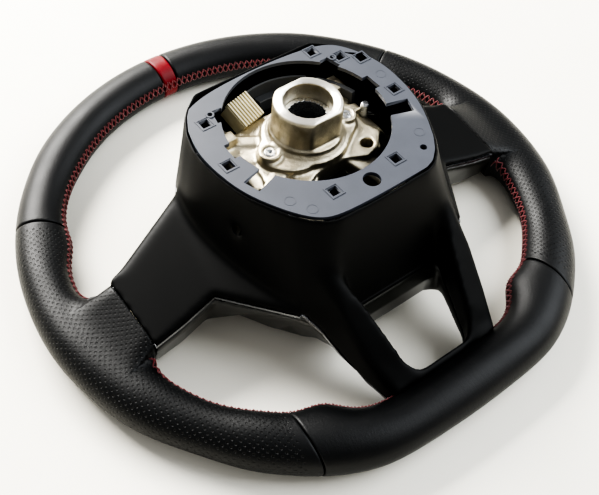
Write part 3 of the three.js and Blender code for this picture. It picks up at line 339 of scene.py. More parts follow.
def settle(piece, material, body, nodes=()):
    """Gives a piece its finish, its body and the CAD nodes that it stands for."""
    piece.data.materials.clear()
    piece.data.materials.append(material)
    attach(piece, body)
    if nodes:
        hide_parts(*nodes)
    return piece


def cad_copy(node, name):
    """A copy of a CAD node's mesh, welded and with flat faces in one piece each."""
    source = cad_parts[node].data
    work = bmesh.new()
    work.from_mesh(source)
    bmesh.ops.remove_doubles(work, verts=work.verts, dist=0.002 * MM)
    bmesh.ops.dissolve_limit(work, angle_limit=radians(0.6), verts=work.verts, edges=work.edges)
    mesh = bpy.data.meshes.new(name)
    work.to_mesh(mesh)
    work.free()
    piece = bpy.data.objects.new(name, mesh)
    bpy.context.collection.objects.link(piece)
    return piece


def bake_modifiers(piece):
    """Replaces the mesh by what its modifiers make."""
    bpy.context.view_layer.update()
    made = bpy.data.meshes.new_from_object(piece.evaluated_get(bpy.context.evaluated_depsgraph_get()))
    piece.modifiers.clear()
    piece.data = made


EASED_ANGLE = radians(32)  # edges sharper than this are broken
EASED_SEGMENTS = 2
RELAX_PULL = 0.5


def eased_edges(node, name, width_mm, before=None):
    """A CAD copy with its moulded or machined edges broken by a small radius."""
    piece = cad_copy(node, name)
    if before:
        before(piece)
    bevel = piece.modifiers.new("edges", "BEVEL")
    bevel.width = width_mm * MM
    bevel.segments = EASED_SEGMENTS
    bevel.limit_method = "ANGLE"
    bevel.angle_limit = EASED_ANGLE
    piece.data.polygons.foreach_set("use_smooth", [True] * len(piece.data.polygons))
    flats = piece.modifiers.new("flats", "WEIGHTED_NORMAL")
    flats.mode = "FACE_AREA"
    flats.weight = 100
    bake_modifiers(piece)
    return piece


def relax(piece, rounds, weight=None):
    """Draws every point towards its neighbours, by its weight."""
    mesh = piece.data
    count = len(mesh.vertices)
    spots = np.empty(count * 3)
    mesh.vertices.foreach_get("co", spots)
    spots = spots.reshape(-1, 3)
    ends = np.empty(len(mesh.edges) * 2, int)
    mesh.edges.foreach_get("vertices", ends)
    first, second = ends.reshape(-1, 2).T
    valence = np.bincount(first, minlength=count) + np.bincount(second, minlength=count)
    share = RELAX_PULL if weight is None else RELAX_PULL * weight(spots)
    for _ in range(rounds):
        mean = np.stack([np.bincount(first, spots[second, axis], count)
                         + np.bincount(second, spots[first, axis], count) for axis in range(3)], 1)
        step = mean / np.maximum(valence, 1)[:, None] - spots
        spots = spots + step * (share if weight is None else share[:, None])
    mesh.vertices.foreach_set("co", spots.ravel())
    mesh.update()


def flow_surface(piece, voxel_mm, rounds):
    """One even skin over all of a piece's solids, so that they run into each other softly."""
    remesh = piece.modifiers.new("skin", "REMESH")
    remesh.mode = "VOXEL"
    remesh.voxel_size = voxel_mm * MM
    remesh.use_smooth_shade = True
    bake_modifiers(piece)
    relax(piece, rounds)


def merge(name, parts):
    """Joins the meshes of several objects into the first one."""
    work = bmesh.new()
    for part in parts:
        work.from_mesh(part.data)
    mesh = bpy.data.meshes.new(name)
    work.to_mesh(mesh)
    work.free()
    for part in parts[1:]:
        bpy.data.objects.remove(part)
    parts[0].data = mesh
    parts[0].name = name
    return parts[0]


def prism(name, outline, low, high):
    """A straight-sided block over an outline in millimetres."""
    count = len(outline)
    area = sum(a[0] * b[1] - b[0] * a[1] for a, b in zip(outline, outline[1:] + outline[:1]))
    ring = outline if area > 0 else outline[::-1]
    vertices = [at(x, y, z) for z in (low, high) for x, y in ring]
    sides = [(i, (i + 1) % count, (i + 1) % count + count, i + count) for i in range(count)]
    ends = [tuple(range(count))[::-1], tuple(range(count, 2 * count))]
    return piece_of(name, vertices, sides + ends, False)


def circle(x, y, radius, count=32):
    """A round outline about a centre."""
    turns = [2 * pi * i / count for i in range(count)]
    return [(x + radius * cos(turn), y + radius * sin(turn)) for turn in turns]


def ring_wall(name, outer, inner, low, high):
    """A closed wall between two outlines of equal point count, in millimetres."""
    count = len(outer)
    loops = [(outer, low), (outer, high), (inner, high), (inner, low)]
    vertices = [at(x, y, z) for outline, z in loops for x, y in outline]
    faces = [(band * count + i, band * count + (i + 1) % count,
              (band + 1) % 4 * count + (i + 1) % count, (band + 1) % 4 * count + i)
             for band in range(4) for i in range(count)]
    return piece_of(name, vertices, faces, False)


# ---- leather rim: the grip's section changes round the rim and runs out into the spoke roots
RIM_FLATNESS = 0.85
FLAT_SHARPNESS = 60  # how tightly the circle turns into the flat bottom
UPPER_SEAM = 60  # clock degrees from 12 o'clock to the seam
LOWER_SEAM = 143.5
SEAM_GAP = 0.15
SEAM_ROLL = 1.5  # radius to which a panel's ends turn in
BAND_WIDTH = 12.4
# (clock degrees, height, spread in degrees) of the thumb rests on the rim's inner side
THUMB_RESTS = [(65, 4.5, 6), (148, 6, 5.5)]
SEAM_SLANT = 3.6  # degrees by which a lower seam leads at the inner side and lags at the outer
# (clock degrees, half width of the grip)
GRIP_WIDTHS = [(0, 16.5), (35, 16.3), (50, 15.4), (75, 15.6), (95, 17), (110, 17.3), (124, 15.6),
               (138, 17.6), (150, 18.3), (164, 17.3), (180, 17.8)]
# The root ends in a mouth round each side spoke.
MOUTH_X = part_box("rear_cover")[1].x / MM + 0.3
MOUTH_TOP, MOUTH_BOTTOM = 7.4, -42
MOUTH_BACK_TOP, MOUTH_BACK_BOTTOM, MOUTH_FRONT = 26.3, 20.5, -6
TOP_FILLET, BOTTOM_FILLET = 21, 24
ROOT_SLOPE = 0.3  # the root still climbs this steeply where it meets the spoke
FRONT_SLOPE = -0.1  # and the same on its front side
ROOT_EDGE = 9  # radius at which the root's upper and lower edges turn over
EDGE_DROP = 0.6  # how much of that turn the back face follows
ROOT_FACE = 0.44  # share of the half girth taken by the root's back face, and by its front face
SECTION_LIMIT = 40  # degrees from a spoke beyond which no root is felt
SEAM_SPOT = 0.42  # where the sewn seam runs, as a share of the inner half of the girth
SEAM_GROOVE = 1.3  # half width of the groove that the sewn seam pulls in
MEAN_HALF_WIDTH = 15
GIRTH_POINTS = 96
PANEL_STEP = 0.9  # degrees between sections
CLOSEST = 0.03  # and never closer than this
MOUTH_STEP = 0.12  # degrees between sections where a root starts
PLAIN_END = 6  # mm without perforations at a panel's ends
PLAIN_SEAM = 6.5  # and beside the sewn seam


def rim_radius(polar):
    """Steering axis to the rim's centreline, for a circle with a flat bottom."""
    down = max(0.0, -sin(radians(polar)))
    round_part = (1 / RIM_RADIUS) ** FLAT_SHARPNESS
    return (round_part + (down / FLAT_DROP) ** FLAT_SHARPNESS) ** (-1 / FLAT_SHARPNESS)


def clock(polar):
    """Degrees from 12 o'clock, either way."""
    return abs((90 - polar + 180) % 360 - 180)


def grip_half_width(hour):
    """Half the grip's width, eased between the stations."""
    for (low, narrow), (high, wide) in zip(GRIP_WIDTHS, GRIP_WIDTHS[1:]):
        if hour <= high:
            share = (hour - low) / (high - low)
            return narrow + (wide - narrow) * share * share * (3 - 2 * share)
    return GRIP_WIDTHS[-1][1]


def thumb_bulge(hour):
    """How far the thumb rests stand out inwards."""
    return sum(height * exp(-((hour - spot) / spread) ** 2) for spot, height, spread in THUMB_RESTS)


def root_share(polar):
    """1 over a spoke's mouth, falling to 0 along the fillets above and below it, and the height there."""
    from_side = (polar + 180) % 360 - 180
    tilt = from_side if abs(from_side) < 90 else (180 - from_side + 180) % 360 - 180
    if abs(tilt) > SECTION_LIMIT:
        return 0, 0
    height = MOUTH_X * tan(radians(tilt))
    above = (height - MOUTH_TOP) / TOP_FILLET
    below = (MOUTH_BOTTOM - height) / BOTTOM_FILLET
    past = max(above, below, 0)
    return (1 - sqrt(1 - (1 - past) ** 2) if past < 1 else 0), height


def sweep(start, end, slope, share, length):
    """A curve that leaves `start` level and reaches `end` at `slope`."""
    cubic = start + (end - start) * (3 - 2 * share) * share * share
    return cubic + slope * length * (share ** 3 - share ** 2)


def rim_section(polar, girth):
    """(distance inwards from the centreline, height) in millimetres. `girth` is 0 at the back crown,
    1 at the front crown, and the inner side lies between them."""
    hour = clock(polar)
    width = grip_half_width(hour)
    tall = width * RIM_FLATNESS
    share, height = root_share(polar)
    inner = width + thumb_bulge(hour) * (1 - share)
    if not 0 < girth < 1:
        return width * sin(pi * girth), tall * cos(pi * girth)
    round_d, round_z = inner * sin(pi * girth), tall * cos(pi * girth)
    groove = exp(-((girth - SEAM_SPOT) * pi * width / SEAM_GROOVE) ** 2) * (1 - share)
    round_d -= groove
    if share == 0:
        return round_d, round_z
    reach = rim_radius(polar) - MOUTH_X / cos(atan2(height, MOUTH_X))
    along = min(1, max(0, (height - MOUTH_BOTTOM) / (MOUTH_TOP - MOUTH_BOTTOM)))
    back = MOUTH_BACK_BOTTOM + (MOUTH_BACK_TOP - MOUTH_BACK_BOTTOM) * along
    past_edge = ROOT_EDGE - min(ROOT_EDGE, max(0, min(MOUTH_TOP - height, height - MOUTH_BOTTOM)))
    back -= (ROOT_EDGE - sqrt(ROOT_EDGE ** 2 - past_edge ** 2)) * EDGE_DROP
    if girth <= ROOT_FACE:
        d = reach * girth / ROOT_FACE
        z = sweep(tall, back, ROOT_SLOPE, girth / ROOT_FACE, reach)
    elif girth >= 1 - ROOT_FACE:
        d = reach * (1 - girth) / ROOT_FACE
        z = -sweep(tall, -MOUTH_FRONT, FRONT_SLOPE, (1 - girth) / ROOT_FACE, reach)
    else:
        d = reach
        z = back + (MOUTH_FRONT - back) * (girth - ROOT_FACE) / (1 - 2 * ROOT_FACE)
    return round_d + (d - round_d) * share, round_z + (z - round_z) * share


def rim_point(polar, girth, sink=0.0):
    """A point of the leather's skin, `sink` millimetres under it."""
    d, z = rim_section(polar, girth)
    scale = 1 - sink / max(hypot(d, z), 1)
    reach = rim_radius(polar) - d * scale
    return reach * cos(radians(polar)), reach * sin(radians(polar)), z * scale


def panel_angles(start, end):
    """Closely spaced where the leather rolls into a seam or turns into a root, wider between."""
    per_mm = degrees(1 / RIM_RADIUS)
    rolled = [0, 0.2, 0.5, 0.9, 1.4, 2.2, 3.4]
    angles = [start + e * per_mm for e in rolled] + [end - e * per_mm for e in rolled]
    spots = int((end - start) / PANEL_STEP)
    angles += [start + (end - start) * i / spots for i in range(1, spots)]
    for edge in (MOUTH_TOP, MOUTH_BOTTOM):
        mouth = degrees(atan2(edge, MOUTH_X))
        for centre in (mouth, 180 - mouth):
            close = [centre + MOUTH_STEP * i for i in range(-14, 15)]
            angles += [angle for angle in close if start + 2 < angle < end - 2]
    angles = sorted(angles)
    return [a for i, a in enumerate(angles) if i == 0 or a - angles[i - 1] > CLOSEST]


def roll(distance):
    """How far the skin sinks at a distance from its turned edge."""
    if distance >= SEAM_ROLL:
        return 0
    return SEAM_ROLL - sqrt(SEAM_ROLL ** 2 - (SEAM_ROLL - distance) ** 2)


def slanted(polar, girth, start, end, slants):
    """Leans the first and last quarter of a panel over, and leaves its middle alone."""
    share = (polar - start) / (end - start)
    lean = slants[0] * max(0, 1 - share * 4) ** 2 + slants[1] * max(0, share * 4 - 3) ** 2
    return polar + lean * sin(pi * girth)


def leather_panel(name, start, end, material, slants=(0, 0)):
    """One sewn panel round the rim, from one polar angle to another."""
    start += degrees(SEAM_GAP / RIM_RADIUS)
    end -= degrees(SEAM_GAP / RIM_RADIUS)
    angles = panel_angles(start, end)
    girths = [-0.5 + 2 * i / GIRTH_POINTS for i in range(GIRTH_POINTS)]
    vertices, skin, holes = [], [], []
    crown = girths.index(min(girths, key=abs))
    for polar in angles:
        from_end = radians(min(polar - start, end - polar)) * RIM_RADIUS
        ring = [rim_point(slanted(polar, girth, start, end, slants), girth, roll(from_end))
                for girth in girths]
        steps = [hypot(*(p - q for p, q in zip(a, b))) for a, b in zip(ring, ring[1:])]
        run = [0.0]
        for step in steps:
            run.append(run[-1] + step)
        share = root_share(polar)[0]
        for girth, point, length in zip(girths, ring, run):
            vertices.append(at(*point))
            skin.append((radians(polar) * RIM_RADIUS, length - run[crown]))
            to_seam = abs(girth - SEAM_SPOT) * pi * MEAN_HALF_WIDTH
            clear = from_end > PLAIN_END and (to_seam > PLAIN_SEAM or share > 0.5)
            holes.append(1.0 if clear else 0.0)
    count = GIRTH_POINTS
    faces = [(row * count + i, row * count + (i + 1) % count,
              (row + 1) * count + (i + 1) % count, (row + 1) * count + i)
             for row in range(len(angles) - 1) for i in range(count)]
    last = (len(angles) - 1) * count
    faces += [tuple(range(count))[::-1], tuple(range(last, last + count))]
    piece = piece_of(name, vertices, [f[::-1] for f in faces])
    layer = piece.data.uv_layers.new(name="skin_mm")
    crown_run = skin[crown][1]
    for loop in piece.data.loops:
        layer.data[loop.index].uv = skin[loop.vertex_index]
    for face in piece.data.polygons:
        runs = [skin[v][1] for v in face.vertices]
        spread = max(runs) - min(runs)
        if len(face.vertices) == 4 and spread > 20:  # a face that closes the girth
            for loop in face.loop_indices:
                u, v = skin[piece.data.loops[loop].vertex_index]
                layer.data[loop].uv = (u, v if v > crown_run else v + spread + 1)
    zone = piece.data.attributes.new("perforated", "FLOAT", "POINT")
    zone.data.foreach_set("value", holes)
    return settle(piece, material, "wheel", [name])


BAND_HALF = degrees(BAND_WIDTH / 2 / RIM_RADIUS)
HIGH_SEAM, LOW_SEAM = 90 - UPPER_SEAM, 90 - LOWER_SEAM
leather_panel("leather_top_left", 90 + BAND_HALF, 180 - HIGH_SEAM, smooth_leather)
leather_panel("leather_top_right", HIGH_SEAM, 90 - BAND_HALF, smooth_leather)
leather_panel("centre_band", 90 - BAND_HALF, 90 + BAND_HALF, red_leather)
leather_panel("leather_grip_left", 180 - HIGH_SEAM, 180 - LOW_SEAM, perforated_leather,
              (0, -SEAM_SLANT))
leather_panel("leather_grip_right", LOW_SEAM, HIGH_SEAM, perforated_leather,
              (SEAM_SLANT, 0))
leather_panel("leather_bottom", 180 - LOW_SEAM, 360 + LOW_SEAM, smooth_leather,
              (-SEAM_SLANT, SEAM_SLANT))


# ---- red cross stitches over the seam, round the rim's inner side
STITCH_PITCH = 4.2
STITCH_REACH = 4.2  # from the seam to each row of needle holes
STITCH_LINE = 152  # radius of the row of stitches
THREAD_RADIUS = 0.5
THREAD_SIDES = 7
THREAD_TAPER = [0.35, 0.9, 1, 1, 0.9, 0.35]
THREAD_SINK = [0.6, -0.25, -0.45, -0.55, -0.3, 0.6]  # under the skin at the needle holes, over it between
OVER_LIFT = 0.3  # one thread of a cross lies over the other
LEG_HALF = 46  # the lower spoke's legs cover the seam this far out
STITCHED_ROOT = 0.85  # the stitches run this far into a root


def thread_pass(points, vertices, faces):
    """One flattened pass of thread with its ends drawn into the leather."""
    sides = THREAD_SIDES
    base = len(vertices)
    for index, (point, size) in enumerate(zip(points, THREAD_TAPER)):
        ahead = points[min(index + 1, len(points) - 1)] - points[max(index - 1, 0)]
        across = ahead.cross(Vector((0, 0, 1)))
        across = across.normalized() if across.length > 1e-9 else Vector((1, 0, 0))
        upward = across.cross(ahead).normalized()
        for side in range(sides):
            turn = 2 * pi * side / sides
            offset = across * cos(turn) + upward * sin(turn)
            vertices.append(point + offset * THREAD_RADIUS * MM * size)
    rows = len(points)
    faces += [(base + r * sides + i, base + r * sides + (i + 1) % sides,
               base + (r + 1) * sides + (i + 1) % sides, base + (r + 1) * sides + i)
              for r in range(rows - 1) for i in range(sides)]
    faces.append(tuple(base + i for i in range(sides))[::-1])
    faces.append(tuple(base + (rows - 1) * sides + i for i in range(sides)))


def cross_stitching():
    """Pairs of crossing threads along the seam, left out under the legs and the spoke roots."""
    vertices, faces = [], []
    around = int(2 * pi * STITCH_LINE / STITCH_PITCH)
    step = 360 / around
    for index in range(around):
        polar = 360 * index / around - 90
        x = RIM_RADIUS * cos(radians(polar))
        under_legs = sin(radians(polar)) < 0 and abs(x) < LEG_HALF
        if under_legs or max(root_share(polar)[0], root_share(polar + step)[0]) > STITCHED_ROOT:
            continue
        half = STITCH_REACH / (pi * grip_half_width(clock(polar)))
        for sign in (1, -1):
            path = []
            for part, sink in enumerate(THREAD_SINK):
                share = part / (len(THREAD_SINK) - 1)
                girth = SEAM_SPOT + sign * half * (2 * share - 1)
                depth = sink - (OVER_LIFT if sign > 0 else 0)
                path.append(at(*rim_point(polar + step * share, girth, depth)))
            thread_pass(path, vertices, faces)
    piece = piece_of("rim_cross_stitching", vertices, faces)
    return settle(piece, red_thread, "wheel")


cross_stitching()

# ---- housing
PLATE_LEVEL = (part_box("column_plate")[1].z - RIM_PLANE) / MM
SIDE_SEAM = ([62, 138], [34, 16.5])  # distances from the axis, and heights of the parting edge there
LEG_SEAM = ([82, 107, 135], [34, 14.5, 0.5])
HELD_SEAM = (3, 9)  # mm over the parting edge that stay put, and mm over which the skin comes free
HELD_SEAT = (91, 12, 0.12)  # the plate's seat, the same distance, and the least share left free there
HELD_MOUTH = (134, 8)  # the spoke's mouth
HELD_LEGS = (92, 10, 0.75)  # where the legs start, and how much firmer they are held
SHELL_VOXEL = 1.15
COVER_ROUNDS = 70
FRAME_ROUNDS = 12
TUCK = 6  # mm by which the wall over the window leans back


def cover_weight(spots):
    """Free over the long faces, held at the parting edge, the plate's seat and the window's edges."""
    x, y, z = spots.T / MM
    z = z - RIM_PLANE / MM
    seam = np.minimum(np.interp(abs(x), *SIDE_SEAM), np.interp(-y, *LEG_SEAM))
    above = np.clip((z - seam - HELD_SEAM[0]) / HELD_SEAM[1], 0, 1)
    below_plate = np.clip((HELD_SEAT[0] - z) / HELD_SEAT[1], HELD_SEAT[2], 1)
    before_mouth = np.clip((HELD_MOUTH[0] - abs(x)) / HELD_MOUTH[1], 0, 1)
    legs = 1 - HELD_LEGS[2] * np.clip((-y - HELD_LEGS[0]) / HELD_LEGS[1], 0, 1)
    return above * below_plate * before_mouth * legs


cover = cad_copy("rear_cover", "rear_cover_shell")
flow_surface(cover, SHELL_VOXEL, 3)
relax(cover, COVER_ROUNDS, cover_weight)
settle(cover, black_abs, "wheel", ["rear_cover"])


def limited(share):
    """A share kept between 0 and 1."""
    return min(1, max(0, share))


def tuck_under(piece):
    """Draws the wall over the window back under the cover's edge. The pull fades out upwards,
    sideways, towards the rim and towards the pad."""
    for vert in piece.data.vertices:
        x, y, z = vert.co.x / MM, vert.co.y / MM, (vert.co.z - RIM_PLANE) / MM
        share = limited((14 - z) / 20) * limited((36 - abs(x)) / 8)
        share *= limited((y + 114) / 10) * limited((-84 - y) / 8)
        vert.co.y += TUCK * MM * share


front = cad_copy("front_frame", "front_frame_shell")
flow_surface(front, SHELL_VOXEL, FRAME_ROUNDS)
tuck_under(front)
settle(front, satin_abs, "wheel", ["front_frame"])

for strip in ("upper", "left", "right"):
    node = "trim_strip_" + strip
    settle(eased_edges(node, node + "_satin", 0.2), satin_chrome, "wheel", [node])
node = "trim_strip_window"
settle(eased_edges(node, node + "_black", 0.2), black_abs, "wheel", [node])

# ---- grey plate on the column side
SQUARE_HOLES = [(39.4, 45.8), (52, 32.6), (62.7, 24), (61.2, -10.1), (-61.5, -5.8), (22.2, -56),
                (-23.7, -55.6), (-53.5, 29.5)]
EYELETS = [(-47, 34), (47, 34)]
EJECTOR_MARKS = [(48.5, -47.6), (-48.9, -47.4), (-42.2, -59.2), (63, 5)]
HULL_BAND = 0.5 * MM  # points this near the outline belong to it
LEVEL_BAND = 0.1 * MM  # and points this near in height lie on one level
FACET = 3.2 * MM  # facets shorter than this are not divided
OUTLINE_ROUNDS = 60
TRIM_FOOT = 0.3  # how deep a raised border stands in the plate


def square(x, y, side):
    """A square outline about a centre."""
    h = side / 2
    return [(x - h, y - h), (x + h, y - h), (x + h, y + h), (x - h, y + h)]


def rounded_outline(piece):
    """Turns the facets of a plate's outer edge into a smooth curve and leaves its holes alone."""
    work = bmesh.new()
    work.from_mesh(piece.data)
    flat = [v.co.xy for v in work.verts]
    order = geometry.convex_hull_2d(flat)
    hull = [flat[i].copy() for i in order]

    def outer(point):
        walls = zip(hull, hull[1:] + hull[:1])
        return min((geometry.intersect_point_line(point.xy, a, b)[0].xy - point.xy).length
                   for a, b in walls) < HULL_BAND

    def level_with(a, b):
        return abs(a.co.z - b.co.z) < LEVEL_BAND

    facets = [e for e in work.edges if all(outer(v.co) for v in e.verts) and e.calc_length() > FACET
              and level_with(*e.verts)]
    bmesh.ops.subdivide_edges(work, edges=facets, cuts=7)
    loop = [v for v in work.verts if outer(v.co)]
    on_loop = set(loop)
    for _ in range(OUTLINE_ROUNDS):
        moves = {}
        for vert in loop:
            beside = [e.other_vert(vert) for e in vert.link_edges]
            level = [v.co.xy for v in beside if v in on_loop and level_with(v, vert)]
            if len(level) == 2:
                moves[vert] = (level[0] + level[1]) / 2
        for vert, spot in moves.items():
            vert.co.xy = vert.co.xy.lerp(spot, 0.5)
    work.to_mesh(piece.data)
    work.free()


plate = eased_edges("column_plate", "column_plate_moulding", 0.35, before=rounded_outline)
foot = PLATE_LEVEL - TRIM_FOOT
trims = [ring_wall("hole_border", square(x, y, 9.2), square(x, y, 7.6), foot, PLATE_LEVEL + 0.35)
         for x, y in SQUARE_HOLES]
trims += [ring_wall("eyelet_ring", circle(x, y, 2.7, 24), circle(x, y, 1.6, 24), foot, PLATE_LEVEL + 0.6)
          for x, y in EYELETS]
trims += [ring_wall("ejector_mark", circle(x, y, 3.4, 28), circle(x, y, 3.0, 28), foot, PLATE_LEVEL + 0.12)
          for x, y in EJECTOR_MARKS]
plate = merge("column_plate_moulding", [plate] + trims)
settle(plate, grey_nylon, "wheel", ["column_plate"])

# ---- casting: the boss runs out over a flange, with ribs and lugs round it
FLANGE_OUTLINE = [(37, -2), (34, 5), (26, 10), (18, 21), (0, 24), (-18, 21), (-26, 10), (-34, 4),
                  (-37, -3), (-34, -11), (-25, -21), (-12, -24), (10, -22), (25, -15), (34, -9)]
FLANGE_BORE = 18  # inside the boss's own wall
LUG_X, LUG_Y = 30, -24
# (radius, low, high) of the steps that smooth into the fillet at the boss's foot
FILLET_STEPS = [(27, 77, 80.2), (24.6, 79, 82), (23, 81, 85.5)]
# (start, end, width, low, high) of ribs; the first list is the right side's, mirrored on the left
RIBS_BOTH_SIDES = [((22, -14), (25, -18), 9, 64, 75), ((30, 4), (46, 4), 7, 62, 76),
                   ((24, 12), (44, 25), 8, 64, 77), ((44, 19), (44, 31), 7, 60, 81)]
RIBS_LEFT = [((-22, -12), (-44, -21), 7, 62, 76), ((-38, -4), (-44, -22), 5, 62, 72),
             ((-14, -22), (-24, -34), 8, 60, 71)]
CAST_VOXEL = 0.9


def by_angle(outline, count=64):
    """An outline's points at even steps of angle."""
    turns, reaches = zip(*sorted((atan2(y, x) % (2 * pi), hypot(x, y)) for x, y in outline))
    steps = [2 * pi * i / count for i in range(count)]
    radii = np.interp(steps, turns, reaches, period=2 * pi)
    return [(radius * cos(turn), radius * sin(turn)) for turn, radius in zip(steps, radii)]


def bar(start, end, width, low, high):
    """An upright rib between two points."""
    along = Vector(end) - Vector(start)
    side = Vector((-along.y, along.x)).normalized() * width / 2
    corners = [Vector(start) - side, Vector(end) - side, Vector(end) + side, Vector(start) + side]
    return prism("rib", [tuple(c) for c in corners], low, high)


def hub_casting():
    """The CAD's casting with its flange, fillet, lugs and ribs."""
    parts = [cad_copy("armature", "hub_casting")]
    flange = by_angle(FLANGE_OUTLINE)
    parts.append(ring_wall("flange", flange, circle(0, 0, FLANGE_BORE, len(flange)), 70, 79.4))
    parts += [ring_wall("fillet", circle(0, 0, radius), circle(0, 0, FLANGE_BORE), low, high)
              for radius, low, high in FILLET_STEPS]
    for side in (-1, 1):
        x = side * LUG_X
        parts.append(ring_wall("lug", circle(x, LUG_Y, 8.6), circle(x, LUG_Y, 5.2), 62, 73))
        parts += [bar((side * start[0], start[1]), (side * end[0], end[1]), *sizes)
                  for start, end, *sizes in RIBS_BOTH_SIDES]
    parts += [bar(*rib) for rib in RIBS_LEFT]
    return merge("hub_casting", parts)


hub = hub_casting()
flow_surface(hub, CAST_VOXEL, 4)
settle(hub, casting, "wheel", ["armature"])

# ---- wiring connector: a tilted block with eight ribs down its upper face
CONNECTOR_TURN = radians(13)
CONNECTOR_TOP = (42, 86)  # distance from the axis and height of its upper edge
CONNECTOR_WIDTH = 18
CONNECTOR_RUN = 15
CONNECTOR_DROP = 8
CONNECTOR_DEPTH = 12
CONNECTOR_RIBS = 8
RIB_SHARE = 0.55  # of the pitch
RIB_OVERHANG = 0.06  # of the run, past the upper edge
RIB_RISE, RIB_DEPTH = 0.1, 0.35  # of the block's depth
BLOCK_FACES = ((0, 2, 3, 1), (4, 5, 7, 6), (0, 1, 5, 4), (2, 6, 7, 3), (0, 4, 6, 2), (1, 3, 7, 5))


def ribbed_connector():
    """The block and its ribs, in one piece."""
    low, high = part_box("wiring_connector")
    x = (low.x + high.x) / 2 / MM
    top = at(x, *CONNECTOR_TOP)
    wide = Vector((cos(CONNECTOR_TURN), sin(CONNECTOR_TURN), 0)) * CONNECTOR_WIDTH * MM
    run = Vector((sin(CONNECTOR_TURN), -cos(CONNECTOR_TURN), 0)) * CONNECTOR_RUN * MM
    run.z = -CONNECTOR_DROP * MM
    inward = run.cross(wide).normalized() * CONNECTOR_DEPTH * MM
    inward = inward if inward.z < 0 else -inward
    vertices, faces = [], []

    def block(origin, edges):
        base = len(vertices)
        for k in range(8):
            vertices.append(origin + sum((edges[i] * (k >> i & 1) for i in range(3)), Vector()))
        faces.extend(tuple(base + i for i in face) for face in BLOCK_FACES)

    block(top - wide / 2, [wide, run, inward])
    pitch = wide / CONNECTOR_RIBS
    for rib in range(CONNECTOR_RIBS):
        start = top - wide / 2 + pitch * (rib + 0.25) - run * RIB_OVERHANG - inward * RIB_RISE
        block(start, [pitch * RIB_SHARE, run * (1 + RIB_OVERHANG), inward * RIB_DEPTH])
    piece = piece_of("wiring_connector_piece", vertices, faces, False)
    bevel = piece.modifiers.new("edges", "BEVEL")
    bevel.width = 0.35 * MM
    bevel.segments = 3
    bake_modifiers(piece)
    return settle(piece, cream_nylon, "wheel", ["wiring_connector"])


ribbed_connector()


# ---- black mouldings of the switchgear carrier that show inside the opening
def arc_ledge(name, inner, outer, start, end, low, high):
    """A curved wall between two radii, two angles and two levels."""
    steps = [radians(start + (end - start) * i / 24) for i in range(25)]
    outline = [(outer * cos(t), outer * sin(t)) for t in steps]
    outline += [(inner * cos(t), inner * sin(t)) for t in reversed(steps)]
    piece = prism(name, outline, low, high)
    bevel = piece.modifiers.new("edges", "BEVEL")
    bevel.width = 0.3 * MM
    bevel.limit_method = "ANGLE"
    bake_modifiers(piece)
    return settle(piece, dark_nylon, "wheel")


arc_ledge("inner_ledge_high", 46.5, 48, 52, 128, 70, 84)
arc_ledge("inner_ledge_low", 41, 46.6, 58, 96, 66, 75)
arc_ledge("inner_ledge_right", 46, 49.5, 12, 44, 66, 82)

# ---- simple carried-over parts, each with its edges eased
EASED = [
    ("hub_bush", 0.2, bright_steel, "machined_steel", "wheel"),
    ("hub_screw_left", 0.2, bright_steel, "machined_steel", "wheel"),
    ("hub_screw_right", 0.2, bright_steel, "machined_steel", "wheel"),
    ("locating_pin_left", 0.3, bright_steel, "machined_steel", "wheel"),
    ("locating_pin_right", 0.3, bright_steel, "machined_steel", "wheel"),
    ("horn_base_plate", 0.3, dark_steel, "machined_steel", "wheel"),
    ("module_plate", 0.3, dark_steel, "machined_steel", "horn_pad"),
    ("gas_generator", 0.5, bright_steel, "machined_steel", "horn_pad"),
    ("folded_bag", 1.5, bag_cloth, "bag_fabric", "horn_pad"),
]
for node, width, finish, slot, body in EASED:
    settle(eased_edges(node, node + "_piece", width), finish, body, [node])
for place in ("left", "right"):
    for node, width, finish, slot, body in (
        ("switch_panel_", 0.4, gloss_black, "gloss_black", "wheel"),
        ("switch_module_", 0.3, dark_nylon, "dark_plastic", "wheel"),
        ("upper_button_", 0.4, button_abs, "button_plastic", "upper_button_" + place),
        ("lower_button_", 0.4, button_abs, "button_plastic", "lower_button_" + place),
        ("rocker_", 0.5, button_abs, "button_plastic", "rocker_" + place),
        ("thumb_roller_", 0.3, dark_nylon, "dark_plastic", "thumb_roller_" + place),
    ):
        key = node + place
        settle(eased_edges(key, key + "_piece", width), finish, body, [key])

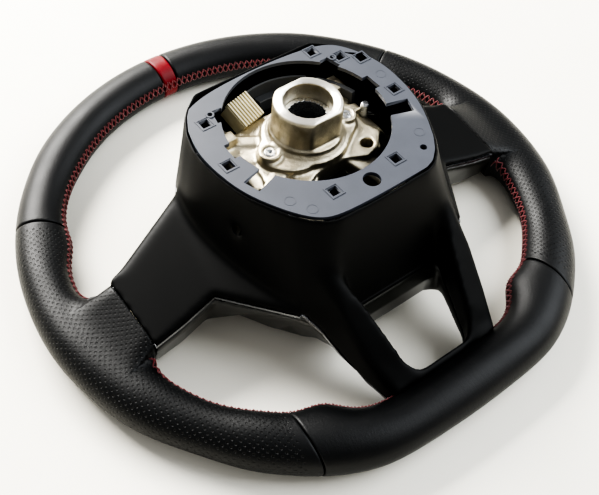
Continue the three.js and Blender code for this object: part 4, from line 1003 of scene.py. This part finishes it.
PAD_VOXEL = 1.3
pad = cad_copy("pad_cover", "pad_cover_skin")
flow_surface(pad, PAD_VOXEL, 14)
settle(pad, soft_pad, "horn_pad", ["pad_cover"])
disc = eased_edges("emblem_disc", "emblem_disc_piece", 0.3)
settle(disc, satin_chrome, "horn_pad", ["emblem_disc"])

# The horn springs stand on the wheel's base plate; on the real wheel they shorten by the pad's travel.
# Each coil keeps the CAD's shape on a mesh of its own.
for place in ("left", "right", "lower"):
    node = "horn_spring_" + place
    coil = settle(cad_copy(node, node + "_coil"), spring_wire, "wheel", [node])
    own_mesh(coil)

for node, finish in (("rim_foam", rim_foam), ("rim_core", dark_steel),
                     ("horn_guide_pin_left", bright_steel), ("horn_guide_pin_right", bright_steel),
                     ("horn_guide_pin_lower", bright_steel)):
    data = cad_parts[node].data
    data.materials.clear()
    data.materials.append(finish)


# ---- studio
def softbox(name, size, place, target, power, tint):
    """A rectangular area light aimed at a point."""
    data = bpy.data.lights.new(name, "AREA")
    data.shape = "RECTANGLE"
    data.size, data.size_y = size
    data.energy = power
    data.color = tint
    lamp = bpy.data.objects.new(name, data)
    lamp.location = place
    lamp.rotation_euler = (Vector(target) - Vector(place)).to_track_quat("-Z", "Y").to_euler()
    bpy.context.collection.objects.link(lamp)


AIM = (0, 0, -0.1)
softbox("window_light", (1.2, 0.8), (-0.1, 1.4, 0.9), AIM, 130, (1, 0.98, 0.94))
softbox("fill_light", (1.5, 1.5), (1.2, -0.6, 1.2), AIM, 50, (0.92, 0.96, 1))
world = bpy.data.worlds.new("studio")
world.use_nodes = True
sky = world.node_tree.nodes["Background"].inputs
sky["Color"].default_value = (0.8, 0.8, 0.8, 1)
sky["Strength"].default_value = 0.6
bpy.context.scene.world = world
bpy.context.scene.view_settings.look = "AgX - High Contrast"

FLOOR_HALF = 3.0
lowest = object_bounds()[0][2]
corners = [(x * FLOOR_HALF, y * FLOOR_HALF, lowest) for x, y in ((-1, -1), (1, -1), (1, 1), (-1, 1))]
floor = piece_of("floor", corners, [(0, 1, 2, 3)])
cream_paper = grained("pale_cream_backdrop", "#efebdd", "#f6f2e6", 0.8, 0.05, (0.6, 0.8), 60)
floor.data.materials.append(cream_paper)
